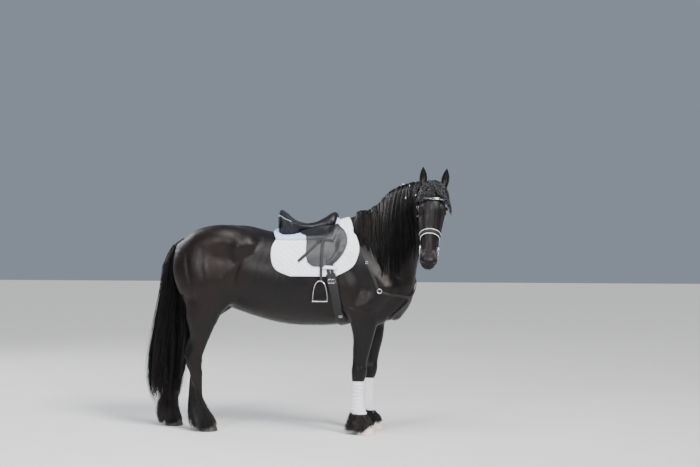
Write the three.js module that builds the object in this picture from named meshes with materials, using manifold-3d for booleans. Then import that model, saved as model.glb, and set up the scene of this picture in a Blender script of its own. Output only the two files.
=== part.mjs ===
// A Friesian horse at rest, life size, under an English saddle, with its head turned to its right.
// Millimetres. +X is forward, +Y is the horse's left, +Z is up, and the hooves stand on Z = 0.
import * as THREE from "three";
import { mergeVertices } from "three/addons/utils/BufferGeometryUtils.js";
import Module from "manifold-3d";

const wasm = await Module();
wasm.setup();

// Driving dimensions
const GAP = 0.3; // clearance between pieces that touch
const SWELL = 0.5; // how far a neighbour is swollen before it cuts a piece
const RIGHT = -1; // sign of Y on the horse's right
const LEFT = 1;
const FORELEG_CUT = 868; // height where a foreleg parts from the trunk
const THIGH_CUT = 1270; // height under which the haunches are cast about the thighs
const FLANK = -425; // where the belly ends and the thighs start
const HINDLEG_CUT = 905; // height where a hind leg parts from the trunk
const KNEE_CUT = 418; // height where the cannon starts under the knee
const HOCK_CUT = 455; // height where the cannon starts under the hock
const HOOF_TOP = 78; // height of the coronet
const WRAP = { top: 409, bottom: 152, thickness: 9 };

const POLL = new THREE.Vector3(1158, -350, 1876); // top of the skull between the ears
const HEAD_SCALE = [0.92, 1, 0.92]; // against the sections below, which are of a longer head
const HEAD_YAW = -83; // degrees from straight ahead, to the right
const HEAD_NOD = -12; // degrees that the muzzle stands forward of plumb
const HEAD_LEAN = -4.5; // degrees that the muzzle swings to the horse's right

// Sections of the body. Each row is x, y, z, half width, then the reach on either side of the line:
// up and down on a line that runs forward, front and back on one that runs down.
const TRUNK = [
  [-560, 0, 1330, 190, 270, 260],
  [-400, 0, 1300, 262, 308, 340],
  [-220, 0, 1235, 298, 333, 345],
  [0, 0, 1185, 318, 360, 352],
  [200, 0, 1170, 308, 385, 348],
  [380, 0, 1165, 268, 400, 335],
  [560, 0, 1160, 222, 380, 296],
  [710, 0, 1130, 182, 330, 250],
  [815, 0, 1095, 140, 260, 190],
];
const WITHERS = [
  [120, 0, 1478, 90, 70, 80],
  [300, 0, 1530, 72, 80, 80],
  [430, 0, 1560, 62, 82, 90],
  [560, 0, 1590, 60, 85, 100],
];
const NECK = [
  [690, 0, 1280, 178, 330, 255],
  [790, -3, 1440, 150, 335, 250],
  [868, -22, 1575, 124, 290, 200],
  [940, -60, 1690, 104, 225, 165],
  [1022, -104, 1780, 90, 155, 140],
  [1094, -152, 1826, 80, 102, 116],
  [1150, -200, 1840, 74, 86, 102],
];
const BREAST = [
  [890, 0, 1140, 120, 72, 80],
  [886, 0, 1030, 104, 62, 80],
  [826, 0, 925, 86, 60, 70],
];
// One side of the body, with Y positive outwards.
const CROUP = [
  [-320, 150, 1455, 105, 105, 110],
  [-500, 140, 1470, 140, 138, 130],
  [-680, 112, 1440, 125, 128, 130],
  [-815, 72, 1395, 82, 90, 90],
];
const HIP_POINT = [
  [-290, 222, 1455, 55, 50, 60],
  [-350, 232, 1435, 58, 55, 70],
];
const SHOULDER = [
  [420, 85, 1500, 60, 70, 70],
  [540, 150, 1350, 74, 105, 105],
  [690, 165, 1200, 80, 100, 110],
  [775, 155, 1125, 74, 84, 84],
];
const UPPER_ARM = [
  [775, 160, 1120, 70, 84, 80],
  [660, 175, 1020, 74, 100, 100],
  [560, 172, 930, 70, 110, 88],
];
const TRICEPS = [
  [430, 165, 1300, 50, 70, 70],
  [470, 200, 1130, 62, 105, 90],
  [510, 188, 985, 58, 80, 62],
];
const PECTORAL = [
  [842, 70, 1130, 72, 70, 80],
  [805, 95, 1000, 74, 75, 80],
  [700, 110, 905, 60, 70, 60],
];
const FOREARM = [
  [575, 168, 950, 74, 120, 82],
  [600, 162, 868, 71, 112, 102],
  [598, 156, 740, 60, 82, 78],
  [585, 150, 640, 50, 67, 68],
  [572, 145, 545, 46, 57, 58],
  [567, 143, 492, 53, 61, 60],
  [563, 142, 445, 51, 57, 56],
  [559, 141, 408, 38, 44, 46],
];
const FORE_CANNON = [
  [559, 141, 420, 37, 43, 45],
  [557, 140, 385, 31, 38, 42],
  [556, 139, 300, 29, 36, 41],
  [555, 138, 225, 34, 41, 46],
  [557, 137, 182, 41, 48, 54],
  [585, 136, 132, 36, 41, 42],
  [605, 135, 92, 52, 56, 58],
  [610, 135, 60, 56, 60, 62],
];
const THIGH = [
  [-560, 125, 1430, 110, 150, 190],
  [-600, 160, 1300, 128, 210, 278],
  [-585, 180, 1160, 122, 205, 270],
  [-560, 188, 1040, 96, 140, 238],
  [-615, 182, 930, 76, 100, 170],
];
const HAMSTRING = [
  [-800, 95, 1400, 78, 80, 70],
  [-835, 112, 1290, 86, 90, 62],
  [-800, 128, 1150, 84, 100, 70],
  [-748, 145, 1010, 68, 90, 62],
];
const GASKIN = [
  [-560, 186, 1010, 80, 80, 150],
  [-650, 180, 905, 72, 118, 135],
  [-676, 168, 790, 60, 94, 96],
  [-697, 158, 680, 48, 68, 66],
  [-722, 152, 600, 47, 62, 66],
  [-734, 149, 545, 52, 70, 68],
  [-722, 147, 480, 43, 53, 54],
  [-713, 146, 440, 33, 42, 44],
];
const HOCK_POINT = [
  [-760, 156, 720, 14, 16, 16],
  [-786, 152, 640, 20, 24, 22],
  [-792, 149, 590, 26, 34, 26],
];
const HIND_CANNON = [
  [-714, 146, 455, 35, 44, 46],
  [-712, 145, 400, 29, 38, 41],
  [-711, 144, 310, 28, 37, 40],
  [-709, 142, 245, 33, 42, 46],
  [-703, 141, 205, 41, 50, 54],
  [-662, 139, 148, 36, 42, 42],
  [-636, 138, 100, 52, 57, 58],
  [-630, 138, 60, 56, 60, 62],
];

// How far the left legs stand forward of the right ones at each height: height, shift.
const LEFT_FORE_SHIFT = [
  [0, 32],
  [300, 40],
  [540, 46],
  [740, 38],
  [900, 12],
  [980, 0],
];
const LEFT_HIND_SHIFT = [
  [0, -356],
  [105, -348],
  [205, -314],
  [310, -262],
  [480, -208],
  [560, -190],
  [680, -164],
  [790, -132],
  [905, -92],
  [1020, -50],
  [1160, 0],
];

// The head in its own frame: origin at the poll, +X out of the forehead, +Z up, muzzle down.
const SKULL = [
  [-62, 0, 8, 62, 46, 52],
  [-62, 0, -60, 82, 72, 80],
  [-66, 0, -150, 90, 84, 100],
  [-68, 0, -230, 80, 80, 100],
  [-68, 0, -330, 62, 70, 90],
  [-68, 0, -430, 51, 64, 74],
  [-68, 0, -520, 50, 58, 56],
  [-66, 0, -585, 53, 50, 44],
  [-66, 0, -625, 44, 34, 26],
];
const EAR_BASE = [
  [-66, 54, -34, 22, 24, 24],
  [-60, 74, 12, 21, 22, 22],
];
const CHEEK = [
  [-140, 60, -62, 22, 46, 50],
  [-168, 64, -140, 27, 86, 90],
  [-162, 56, -235, 24, 66, 62],
];
const JAW = [
  [-205, 46, -165, 18, 50, 44],
  [-178, 38, -290, 17, 44, 34],
  [-146, 26, -400, 20, 40, 26],
  [-132, 14, -510, 22, 34, 24],
];
const CHIN = [
  [-128, 0, -500, 30, 26, 28],
  [-122, 0, -560, 38, 32, 34],
  [-112, 0, -600, 36, 22, 26],
  [-102, 0, -628, 30, 16, 18],
];
const BROW = [
  [-34, 74, -128, 20, 24, 24],
  [-26, 86, -158, 21, 26, 30],
  [-44, 92, -196, 18, 22, 24],
];
const FACE_CREST = [
  [-84, 88, -205, 12, 16, 16],
  [-78, 72, -290, 10, 14, 14],
  [-72, 58, -370, 10, 12, 12],
];
const NOSTRIL_WALL = [
  [-30, 30, -540, 18, 18, 22],
  [-34, 42, -580, 22, 24, 30],
  [-48, 40, -612, 18, 20, 24],
];
const UPPER_LIP = [
  [-40, 0, -600, 46, 26, 30],
  [-54, 0, -638, 38, 22, 22],
];
const TEMPLE_HOLLOW = [
  [-44, 78, -88, 12, 14, 14],
  [-40, 76, -112, 14, 14, 14],
];
// The plane where the head parts from the neck, in the head's frame.
const THROAT_POINT = [-172, 0, -50];
const THROAT_NORMAL = [0.757, 0, -0.655];
const HEAD_AXIS_X = -84; // the line that rings about the head are swept around

// Numbers and vectors
const { lerp, clamp, degToRad } = THREE.MathUtils;
const vec = (x, y, z) => new THREE.Vector3(x, y, z);
const UP = vec(0, 0, 1);
const ACROSS = vec(0, 1, 0);

// The value at x of a curve through [x, value] pairs.
function curveAt(pairs, x) {
  const last = pairs.length - 1;
  if (x <= pairs[0][0]) return pairs[0][1];
  if (x >= pairs[last][0]) return pairs[last][1];
  const i = pairs.findIndex((pair) => pair[0] > x) - 1;
  const [x0, v0] = pairs[i];
  const [x1, v1] = pairs[i + 1];
  return lerp(v0, v1, (x - x0) / (x1 - x0));
}

// Rows of numbers resampled along a Catmull-Rom curve, with a few rows for each span.
function smoothRows(rows, steps) {
  const at = (i) => rows[clamp(i, 0, rows.length - 1)];
  const made = [];
  for (let i = 0; i < rows.length - 1; i++)
    for (let s = 0; s < steps; s++) {
      const t = s / steps;
      const blend = (_, c) => {
        const [a, b, d, e] = [at(i - 1)[c], at(i)[c], at(i + 1)[c], at(i + 2)[c]];
        const bend = (2 * a - 5 * b + 4 * d - e) * t * t + (3 * b - a - 3 * d + e) * t ** 3;
        return b + 0.5 * ((d - a) * t + bend);
      };
      made.push(at(i).map(blend));
    }
  made.push([...at(rows.length - 1)]);
  return made;
}

const mirrored = (rows, side) => rows.map(([x, y, ...rest]) => [x, side * y, ...rest]);

const shifted = (rows, shifts) =>
  rows.map(([x, y, z, ...rest]) => [x + curveAt(shifts, z), y, z, ...rest]);

// Flesh as a smooth union of tubes with oval sections
// The distance from a point to a tube is negative inside it.
function tube(rows, { blend = 40, side = null, carve = false, steps = 3 } = {}) {
  const line = smoothRows(rows, steps);
  const box = new THREE.Box3();
  const spans = line.slice(1).map((row, i) => {
    const start = vec(...line[i]);
    const along = vec(...row).sub(start);
    const length = along.length();
    along.divideScalar(length);
    const across = side ? side.clone() : UP.clone().cross(along);
    across.addScaledVector(along, -across.dot(along)).normalize();
    const rise = along.clone().cross(across);
    for (const [x, y, z, ...reach] of [line[i], row]) {
      const most = Math.max(...reach);
      box.expandByPoint(vec(x - most, y - most, z - most));
      box.expandByPoint(vec(x + most, y + most, z + most));
    }
    return { start, along, length, across, rise, from: line[i].slice(3), to: row.slice(3) };
  });
  return { spans, box, blend, carve };
}

function tubeDistance({ spans }, p) {
  let best = Infinity;
  for (const { start, along, length, across, rise, from, to } of spans) {
    const [dx, dy, dz] = [p.x - start.x, p.y - start.y, p.z - start.z];
    const t = dx * along.x + dy * along.y + dz * along.z;
    const h = Math.min(1, Math.max(0, t / length));
    const beyond = t - h * length;
    const l = dx * across.x + dy * across.y + dz * across.z;
    const n = dx * rise.x + dy * rise.y + dz * rise.z;
    const w = from[0] + (to[0] - from[0]) * h;
    const k = n >= 0 ? 1 : 2;
    const r = from[k] + (to[k] - from[k]) * h;
    const e = Math.min(w, r);
    const q = Math.sqrt((l / w) ** 2 + (n / r) ** 2 + (beyond / e) ** 2);
    const slope = Math.sqrt((l / w / w) ** 2 + (n / r / r) ** 2 + (beyond / e / e) ** 2);
    const d = slope > 1e-9 ? ((q - 1) * q) / slope : -e;
    if (d < best) best = d;
  }
  return best;
}

function softMin(a, b, k) {
  const h = Math.max(k - Math.abs(a - b), 0) / k;
  return Math.min(a, b) - (h * h * k) / 4;
}

function fleshOf(tubes) {
  return (p) => {
    let d = 1e5;
    for (const t of tubes) {
      if (t.box.distanceToPoint(p) > (t.carve ? t.blend : d + t.blend)) continue;
      const e = tubeDistance(t, p);
      d = t.carve ? -softMin(-d, e, t.blend) : softMin(d, e, t.blend);
    }
    return d;
  };
}

// The tubes of each part of the body
const forward = (rows, blend) => tube(rows, { blend });
const downward = (rows, blend) => tube(rows, { blend, side: ACROSS });

function haunchTubes(side) {
  const placed = (rows) => {
    const rear = mirrored(rows, side);
    return side === LEFT ? shifted(rear, LEFT_HIND_SHIFT) : rear;
  };
  return {
    top: [
      forward(mirrored(CROUP, side).reverse(), 60),
      forward(mirrored(HIP_POINT, side).reverse(), 70),
      downward(mirrored(THIGH.slice(0, 3), side).concat(placed(THIGH.slice(3))), 70),
      downward(mirrored(HAMSTRING.slice(0, 3), side).concat(placed(HAMSTRING.slice(3))), 50),
    ],
    leg: [downward(placed(GASKIN), 40), downward(placed(HOCK_POINT), 22)],
    cannon: [downward(placed(HIND_CANNON), 16)],
  };
}

function forehandTubes(side) {
  const placed = (rows) => {
    const fore = mirrored(rows, side);
    return side === LEFT ? shifted(fore, LEFT_FORE_SHIFT) : fore;
  };
  return {
    top: [
      downward(mirrored(SHOULDER, side), 55),
      downward(mirrored(UPPER_ARM, side), 50),
      downward(mirrored(TRICEPS, side), 50),
      downward(mirrored(PECTORAL, side), 45),
    ],
    leg: [downward(placed(FOREARM), 45)],
    cannon: [downward(placed(FORE_CANNON), 16)],
  };
}

const fore = { [RIGHT]: forehandTubes(RIGHT), [LEFT]: forehandTubes(LEFT) };
const hind = { [RIGHT]: haunchTubes(RIGHT), [LEFT]: haunchTubes(LEFT) };
const neckTube = tube(NECK, { blend: 90, steps: 4 });

const trunkFlesh = fleshOf([
  forward(TRUNK, 1),
  forward(WITHERS, 70),
  downward(BREAST, 60),
  neckTube,
  ...[RIGHT, LEFT].flatMap((s) => [...fore[s].top, ...fore[s].leg, ...hind[s].top, ...hind[s].leg]),
]);

// The head's own frame in the horse's
const headMatrix = new THREE.Matrix4()
  .makeTranslation(POLL)
  .multiply(new THREE.Matrix4().makeRotationZ(degToRad(HEAD_YAW)))
  .multiply(new THREE.Matrix4().makeRotationX(degToRad(HEAD_LEAN)))
  .multiply(new THREE.Matrix4().makeRotationY(degToRad(HEAD_NOD)))
  .multiply(new THREE.Matrix4().makeScale(...HEAD_SCALE));
const headInverse = headMatrix.clone().invert();
const onHead = (x, y, z) => vec(x, y, z).applyMatrix4(headMatrix);

const skullFlesh = fleshOf([
  downward(SKULL, 1),
  ...[RIGHT, LEFT].flatMap((s) => [
    downward(mirrored(EAR_BASE, s), 30),
    downward(mirrored(CHEEK, s), 22),
    downward(mirrored(JAW, s), 26),
    downward(mirrored(BROW, s), 20),
    downward(mirrored(FACE_CREST, s), 16),
    downward(mirrored(NOSTRIL_WALL, s), 14),
  ]),
  downward(CHIN, 18),
  downward(UPPER_LIP, 16),
  ...[RIGHT, LEFT].map((s) =>
    tube(mirrored(TEMPLE_HOLLOW, s), { blend: 22, side: ACROSS, carve: true }),
  ),
]);
const headFlesh = (p) => HEAD_SCALE[0] * skullFlesh(p.clone().applyMatrix4(headInverse));
const neckFlesh = (p) => softMin(trunkFlesh(p), headFlesh(p), 46);

// Closed skins cast outwards from a line of rings
// Each ray leaves its ring's centre in the ring's plane and ends where the flesh does.
const RAY_STEP = 14;
const RAY_LIMIT = 1100;

function rayEnd(field, from, direction) {
  const p = from.clone();
  const at = (t) => field(p.copy(from).addScaledVector(direction, t));
  let t = RAY_STEP;
  while (t < RAY_LIMIT && at(t) < 0) t += RAY_STEP;
  let [inside, outside] = [t - RAY_STEP, t];
  for (let i = 0; i < 12; i++) {
    const middle = (inside + outside) / 2;
    if (at(middle) < 0) inside = middle;
    else outside = middle;
  }
  return from.clone().addScaledVector(direction, inside);
}

// Rings: { centre, normal, rise, tilt } with tilt in degrees, which leans the rays along the normal.
function castRings(field, rings, sides) {
  return rings.map(({ centre, normal, rise, tilt = 0 }) => {
    const lean = degToRad(tilt);
    const up = rise.clone().addScaledVector(normal, -rise.dot(normal)).normalize();
    const across = up.clone().cross(normal).normalize();
    return Array.from({ length: sides }, (_, i) => {
      const turn = (2 * Math.PI * i) / sides;
      const direction = up
        .clone()
        .multiplyScalar(Math.cos(turn) * Math.cos(lean))
        .addScaledVector(across, Math.sin(turn) * Math.cos(lean))
        .addScaledVector(normal, Math.sin(lean));
      return rayEnd(field, centre, direction);
    });
  });
}

// A dome of rings and a tip that closes a cast end
function domeRings(ring, sign, tilts) {
  return tilts.map((tilt) => ({ ...ring, tilt: sign * tilt }));
}
const domeTip = (field, ring, sign) =>
  rayEnd(field, ring.centre, ring.normal.clone().multiplyScalar(sign));

// A closed mesh through rings of points, with a point or a flat cap at each end
function loft(rings, { start = null, end = null, loop = false } = {}) {
  const sides = rings[0].length;
  const points = rings.flat();
  const faces = [];
  const quad = (a, b, c, d) => faces.push([a, b, c], [a, c, d]);
  for (let r = 0; r + (loop ? 0 : 1) < rings.length; r++)
    for (let i = 0; i < sides; i++) {
      const j = (i + 1) % sides;
      const next = (r + 1) % rings.length;
      quad(r * sides + i, r * sides + j, next * sides + j, next * sides + i);
    }
  const close = (first, tip, flip) => {
    const add = (a, b, c) => faces.push(flip ? [a, c, b] : [a, b, c]);
    if (!tip) {
      for (let i = 1; i + 1 < sides; i++) add(first, first + i + 1, first + i);
      return;
    }
    points.push(tip);
    for (let i = 0; i < sides; i++) add(points.length - 1, first + ((i + 1) % sides), first + i);
  };
  if (!loop) {
    close(0, start, false);
    close((rings.length - 1) * sides, end, true);
  }
  const geometry = new THREE.BufferGeometry();
  geometry.setAttribute(
    "position",
    new THREE.Float32BufferAttribute(points.flatMap((p) => [p.x, p.y, p.z]), 3),
  );
  geometry.setIndex(faces.flat());
  return signedVolume(geometry) < 0 ? turnedInsideOut(geometry) : geometry;
}

function signedVolume(geometry) {
  const { position } = geometry.attributes;
  const corner = (i) => vec().fromBufferAttribute(position, geometry.index.getX(i));
  let volume = 0;
  for (let i = 0; i < geometry.index.count; i += 3)
    volume += corner(i).dot(corner(i + 1).cross(corner(i + 2))) / 6;
  return volume;
}

function turnedInsideOut(geometry) {
  const { array } = geometry.index;
  for (let i = 0; i < array.length; i += 3) [array[i], array[i + 1]] = [array[i + 1], array[i]];
  return geometry;
}

// Solids and back
function solid(geometry) {
  const bare = geometry.attributes.normal ? mergeVertices(stripped(geometry), 1e-3) : geometry;
  return new wasm.Manifold(
    new wasm.Mesh({
      numProp: 3,
      vertProperties: new Float32Array(bare.attributes.position.array),
      triVerts: new Uint32Array(bare.index.array),
    }),
  );
}

function stripped(geometry) {
  const bare = new THREE.BufferGeometry();
  const loose = geometry.index ? geometry.toNonIndexed() : geometry;
  bare.setAttribute("position", loose.getAttribute("position"));
  return bare;
}

function geometryOf(made) {
  const { vertProperties, triVerts } = made.getMesh();
  const geometry = new THREE.BufferGeometry();
  geometry.setAttribute("position", new THREE.BufferAttribute(vertProperties, 3));
  geometry.setIndex(new THREE.BufferAttribute(triVerts, 1));
  return geometry;
}

// The largest closed surface of a solid, with corners that lie on each other made one
function largest(made) {
  const bodies = solid(mergeVertices(geometryOf(made), 1e-3)).decompose();
  return bodies.sort((a, b) => b.volume() - a.volume())[0];
}

// A copy whose skin stands off by a small distance, to cut a neighbour clear of it
function inflated(made, distance) {
  const geometry = mergeVertices(geometryOf(made), 1e-3);
  geometry.computeVertexNormals();
  const { position, normal } = geometry.attributes;
  for (let i = 0; i < position.count; i++)
    position.setXYZ(
      i,
      position.getX(i) + normal.getX(i) * distance,
      position.getY(i) + normal.getY(i) * distance,
      position.getZ(i) + normal.getZ(i) * distance,
    );
  return solid(geometry);
}

// What is left of a solid beside its neighbours
function clearOf(made, ...others) {
  const cut = (left, other) => left.subtract(inflated(other, SWELL)).subtract(other);
  return largest(others.reduce(cut, made));
}

function block(low, high) {
  const size = high.clone().sub(low);
  const middle = low.clone().add(high).multiplyScalar(0.5);
  return solid(new THREE.BoxGeometry(...size).translate(...middle));
}


// The torso, cast from rings that lean over into the base of the neck
const TORSO_SIDES = 22;
const TORSO_RINGS = [
  // x and z of the centre, then the lean of the ring's plane in degrees
  [-690, 1330, 0],
  [-600, 1310, 0],
  [-510, 1290, 0],
  [-420, 1270, 0],
  [-320, 1250, 0],
  [-210, 1230, 0],
  [-90, 1210, 0],
  [40, 1200, 0],
  [170, 1190, 0],
  [290, 1190, 0],
  [390, 1200, 2],
  [475, 1210, 6],
  [550, 1225, 12],
  [620, 1250, 19],
  [680, 1290, 27],
  [735, 1340, 35],
];
const TORSO_FLOOR = 800; // the cast stops here on its way down the legs
const DOME_TILTS = [24, 48, 70];

const forwardRing = ([x, z, lean]) => {
  const angle = degToRad(lean);
  return { centre: vec(x, 0, z), normal: vec(Math.cos(angle), 0, Math.sin(angle)), rise: UP };
};

function torsoSolid() {
  const capped = (p) => Math.max(trunkFlesh(p), TORSO_FLOOR - p.z);
  const rings = TORSO_RINGS.map(forwardRing);
  const rear = domeRings(rings[0], -1, DOME_TILTS).reverse();
  const cast = castRings(capped, [...rear, ...rings], TORSO_SIDES);
  const skin = loft(cast, { start: domeTip(capped, rings[0], -1), end: rings.at(-1).centre });
  let made = solid(skin).subtract(block(vec(-1100, -400, 600), vec(FLANK, 400, THIGH_CUT)));
  for (const side of [RIGHT, LEFT]) {
    const inner = side * 62;
    const outer = side * 330;
    const low = vec(455, Math.min(inner, outer), 600);
    const high = vec(800, Math.max(inner, outer), FORELEG_CUT);
    const haunch = (p) => Math.max(trunkFlesh(p), p.x - FLANK - 95, -side * p.y - 60);
    const rows = [...THIGH.slice(0, 4), ...GASKIN.slice(1, 3)];
    made = made
      .subtract(block(low, high))
      .add(legSolid(haunch, rows, side, LEFT_HIND_SHIFT, THIGH_HEIGHTS, 16));
  }
  return largest(made);
}

// Legs, cast from level rings
function legSolid(field, rows, side, shifts, heights, sides) {
  const line = smoothRows(side === LEFT ? shifted(mirrored(rows, side), shifts) : mirrored(rows, side), 4);
  const centre = (z) => {
    const i = clamp(line.findIndex((row) => row[2] <= z), 1, line.length - 1);
    const t = clamp((line[i - 1][2] - z) / (line[i - 1][2] - line[i][2]), 0, 1);
    return vec(lerp(line[i - 1][0], line[i][0], t), lerp(line[i - 1][1], line[i][1], t), z);
  };
  const rings = heights.map((z) => ({ centre: centre(z), normal: UP, rise: vec(1, 0, 0) }));
  return solid(loft(castRings(field, rings, sides)));
}

const THIGH_HEIGHTS = [THIGH_CUT + 6, 1210, 1135, 1060, 1000, 950, HINDLEG_CUT + GAP];
const FORELEG_HEIGHTS = [
  FORELEG_CUT - GAP,
  800,
  730,
  660,
  600,
  550,
  515,
  490,
  465,
  440,
  KNEE_CUT + GAP,
];
const HINDLEG_HEIGHTS = [
  HINDLEG_CUT - GAP,
  850,
  790,
  730,
  680,
  640,
  610,
  580,
  550,
  520,
  490,
  HOCK_CUT + GAP,
];
const FORE_CANNON_HEIGHTS = [KNEE_CUT, 385, 300, 235, 190, 155, 118, HOOF_TOP + GAP];
const HIND_CANNON_HEIGHTS = [HOCK_CUT, 410, 310, 250, 210, 170, 130, HOOF_TOP + GAP];

const flesh = {};
flesh.torso = torsoSolid();
for (const [name, side] of [
  ["right", RIGHT],
  ["left", LEFT],
]) {
  const front = fleshOf([...fore[side].top.slice(1, 2), ...fore[side].leg]);
  const rear = fleshOf([...hind[side].top.slice(2), ...hind[side].leg]);
  const [foreCannon, hindCannon] = [fleshOf(fore[side].cannon), fleshOf(hind[side].cannon)];
  const shift = [LEFT_FORE_SHIFT, LEFT_HIND_SHIFT];
  flesh["foreleg_" + name] = legSolid(front, FOREARM, side, shift[0], FORELEG_HEIGHTS, 12);
  flesh["fore_cannon_" + name] = legSolid(foreCannon, FORE_CANNON, side, shift[0], FORE_CANNON_HEIGHTS, 10);
  flesh["hind_leg_" + name] = legSolid(rear, GASKIN, side, shift[1], HINDLEG_HEIGHTS, 12);
  flesh["hind_cannon_" + name] = legSolid(hindCannon, HIND_CANNON, side, shift[1], HIND_CANNON_HEIGHTS, 10);
}

// The neck, from the torso's last ring to the head's throat plane
const NECK_SIDES = TORSO_SIDES;
const throat = {
  centre: onHead(...THROAT_POINT),
  normal: vec(...THROAT_NORMAL).transformDirection(headMatrix),
};

function neckRings() {
  const base = forwardRing(TORSO_RINGS.at(-1));
  const line = smoothRows(NECK, 2).slice(3);
  const stations = line.map((row, i) => {
    const ahead = vec(...line[Math.min(i + 1, line.length - 1)]);
    const normal = ahead.sub(vec(...line[Math.max(i - 1, 0)])).normalize();
    const share = i / (line.length - 1);
    normal.lerp(throat.normal, share ** 3).lerp(base.normal, (1 - share) ** 3);
    return { centre: vec(...row), normal: normal.normalize() };
  });
  const start = base.centre.clone().addScaledVector(base.normal, GAP);
  return [{ centre: start, normal: base.normal }, ...stations, throat].map((ring) => ({ ...ring, rise: UP }));
}

function neckSolid() {
  const rings = neckRings();
  const cast = castRings(neckFlesh, rings, NECK_SIDES);
  const made = solid(loft(cast, { start: rings[0].centre, end: rings.at(-1).centre }));
  const behind = throatBlock(1).add(neckBaseBlock());
  return largest(made.subtract(behind));
}

// A block with one face on the plane of the torso's last ring, on the torso's side of it
function neckBaseBlock() {
  const { centre, normal } = forwardRing(TORSO_RINGS.at(-1));
  const size = 1200;
  const box = new THREE.BoxGeometry(size, size, size).translate(0, 0, size / 2 - GAP);
  box.applyQuaternion(new THREE.Quaternion().setFromUnitVectors(UP, normal.clone().negate()));
  return solid(box.translate(...centre));
}

// A block with one face on the throat plane, which reaches to the head's side or to the neck's
function throatBlock(side) {
  const size = 420;
  const box = new THREE.BoxGeometry(size, size, size).translate(0, 0, size / 2 - GAP / 2);
  const normal = throat.normal.clone().multiplyScalar(side);
  box.applyQuaternion(new THREE.Quaternion().setFromUnitVectors(UP, normal));
  return solid(box.translate(...throat.centre));
}
flesh.neck = neckSolid();

// The head, cast down its own axis and cut off behind at the throat plane
const HEAD_SIDES = 20;
const HEAD_RINGS = [-20, -55, -90, -122, -150, -178, -210, -260, -325, -395, -455, -505, -548, -585, -612];
const HEAD_DOME = [32, 62]; // tilts of the rings that close either end

function headSolid() {
  const nape = fleshOf([tube(NECK.slice(-2), { blend: 1 })]);
  const field = (p) => softMin(headFlesh(p), nape(p), 46);
  const axisX = [
    [-640, -84],
    [-560, -84],
    [-430, -92],
    [-250, -110],
    [-120, -100],
    [-20, -62],
  ];
  const normal = vec(0, 0, -1).transformDirection(headMatrix);
  const rise = vec(1, 0, 0).transformDirection(headMatrix);
  const rings = HEAD_RINGS.map((z) => ({ centre: onHead(curveAt(axisX, z), 0, z), normal, rise }));
  const all = [
    ...domeRings(rings[0], -1, HEAD_DOME).reverse(),
    ...rings,
    ...domeRings(rings.at(-1), 1, HEAD_DOME),
  ];
  const cast = castRings(field, all, HEAD_SIDES);
  const made = solid(
    loft(cast, { start: domeTip(field, rings[0], -1), end: domeTip(field, rings.at(-1), 1) }),
  );
  return clearOf(made.subtract(throatBlock(-1)), flesh.neck);
}
flesh.head = headSolid();


// Surface work: points settled on the flesh, and sheets that follow it
function outward(field, p) {
  const step = 2;
  const along = (x, y, z) => field(vec(p.x + x, p.y + y, p.z + z)) - field(vec(p.x - x, p.y - y, p.z - z));
  return vec(along(step, 0, 0), along(0, step, 0), along(0, 0, step)).divideScalar(2 * step);
}

function settled(field, p, lift) {
  const q = p.clone();
  for (let i = 0; i < 4; i++) {
    const slope = outward(field, q);
    const size = Math.max(slope.length(), 0.3);
    q.addScaledVector(slope, (lift - field(q)) / size ** 2);
  }
  return q;
}

// A grid of points made into a closed sheet that lies on the flesh
// lift and thickness are numbers, or functions of the row and column
function sheet(grid, field, lift, thickness, { loop = false } = {}) {
  const value = (of, r, c) => (typeof of === "function" ? of(r, c) : of);
  const inner = grid.map((row, r) => row.map((p, c) => settled(field, p, value(lift, r, c))));
  const outer = inner.map((row, r) =>
    row.map((p, c) => {
      const normal = outward(field, p).normalize();
      return p.clone().addScaledVector(normal, value(thickness, r, c));
    }),
  );
  const rings = inner.map((row, r) => [...row, ...outer[r].toReversed()]);
  return solid(loft(rings, { loop }));
}

// A ray from a point inside the flesh to its surface
const reach = (field, from, to) => rayEnd(field, from, to.clone().sub(from).normalize());

// A strap that runs through a few points near the flesh
function strap(field, points, width, lift, thickness, { loop = false, steps = 4, columns = 3 } = {}) {
  const curve = new THREE.CatmullRomCurve3(points, loop);
  const count = (points.length - (loop ? 0 : 1)) * steps;
  const stops = Array.from({ length: count + (loop ? 0 : 1) }, (_, i) => i / count);
  const grid = stops.map((u) => {
    const centre = settled(field, curve.getPoint(u), 0);
    const across = curve.getTangent(u).cross(outward(field, centre)).normalize();
    return Array.from({ length: columns }, (_, c) =>
      centre.clone().addScaledVector(across, width * (c / (columns - 1) - 0.5)),
    );
  });
  return sheet(grid, field, lift, thickness, { loop });
}

// Oval sections along a line, closed at both ends
function ovals(rows, sides, { side = null, steps = 3, start = false, end = false } = {}) {
  const line = smoothRows(rows, steps);
  const rings = line.map((row, i) => {
    const along = vec(...line[Math.min(i + 1, line.length - 1)]);
    along.sub(vec(...line[Math.max(i - 1, 0)])).normalize();
    const across = side ? side.clone() : UP.clone().cross(along);
    across.addScaledVector(along, -across.dot(along)).normalize();
    const rise = along.clone().cross(across);
    const [w, above, below] = row.slice(3);
    return Array.from({ length: sides }, (_, k) => {
      const turn = (2 * Math.PI * k) / sides;
      const high = Math.cos(turn);
      return vec(...row)
        .addScaledVector(rise, high * (high > 0 ? above : below))
        .addScaledVector(across, Math.sin(turn) * w);
    });
  });
  return loft(rings, { start: start ? vec(...line[0]) : null, end: end ? vec(...line.at(-1)) : null });
}

const nodes = {};
const SIDES = [
  ["right", RIGHT],
  ["left", LEFT],
];

// Hooves: a sloping wall on a flat sole
const HOOF_RINGS = [
  // height, then how far the ring reaches forward, back and to each side
  [0, 76, 66, 66],
  [10, 78, 68, 68],
  [HOOF_TOP - 12, 58, 62, 58],
  [HOOF_TOP, 53, 58, 54],
];
const HOOF_SIDES = 14;
const HOOF_AT = {
  fore: { [RIGHT]: [611, -135], [LEFT]: [641, 135] },
  hind: { [RIGHT]: [-626, -138], [LEFT]: [-978, 138] },
};

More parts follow.
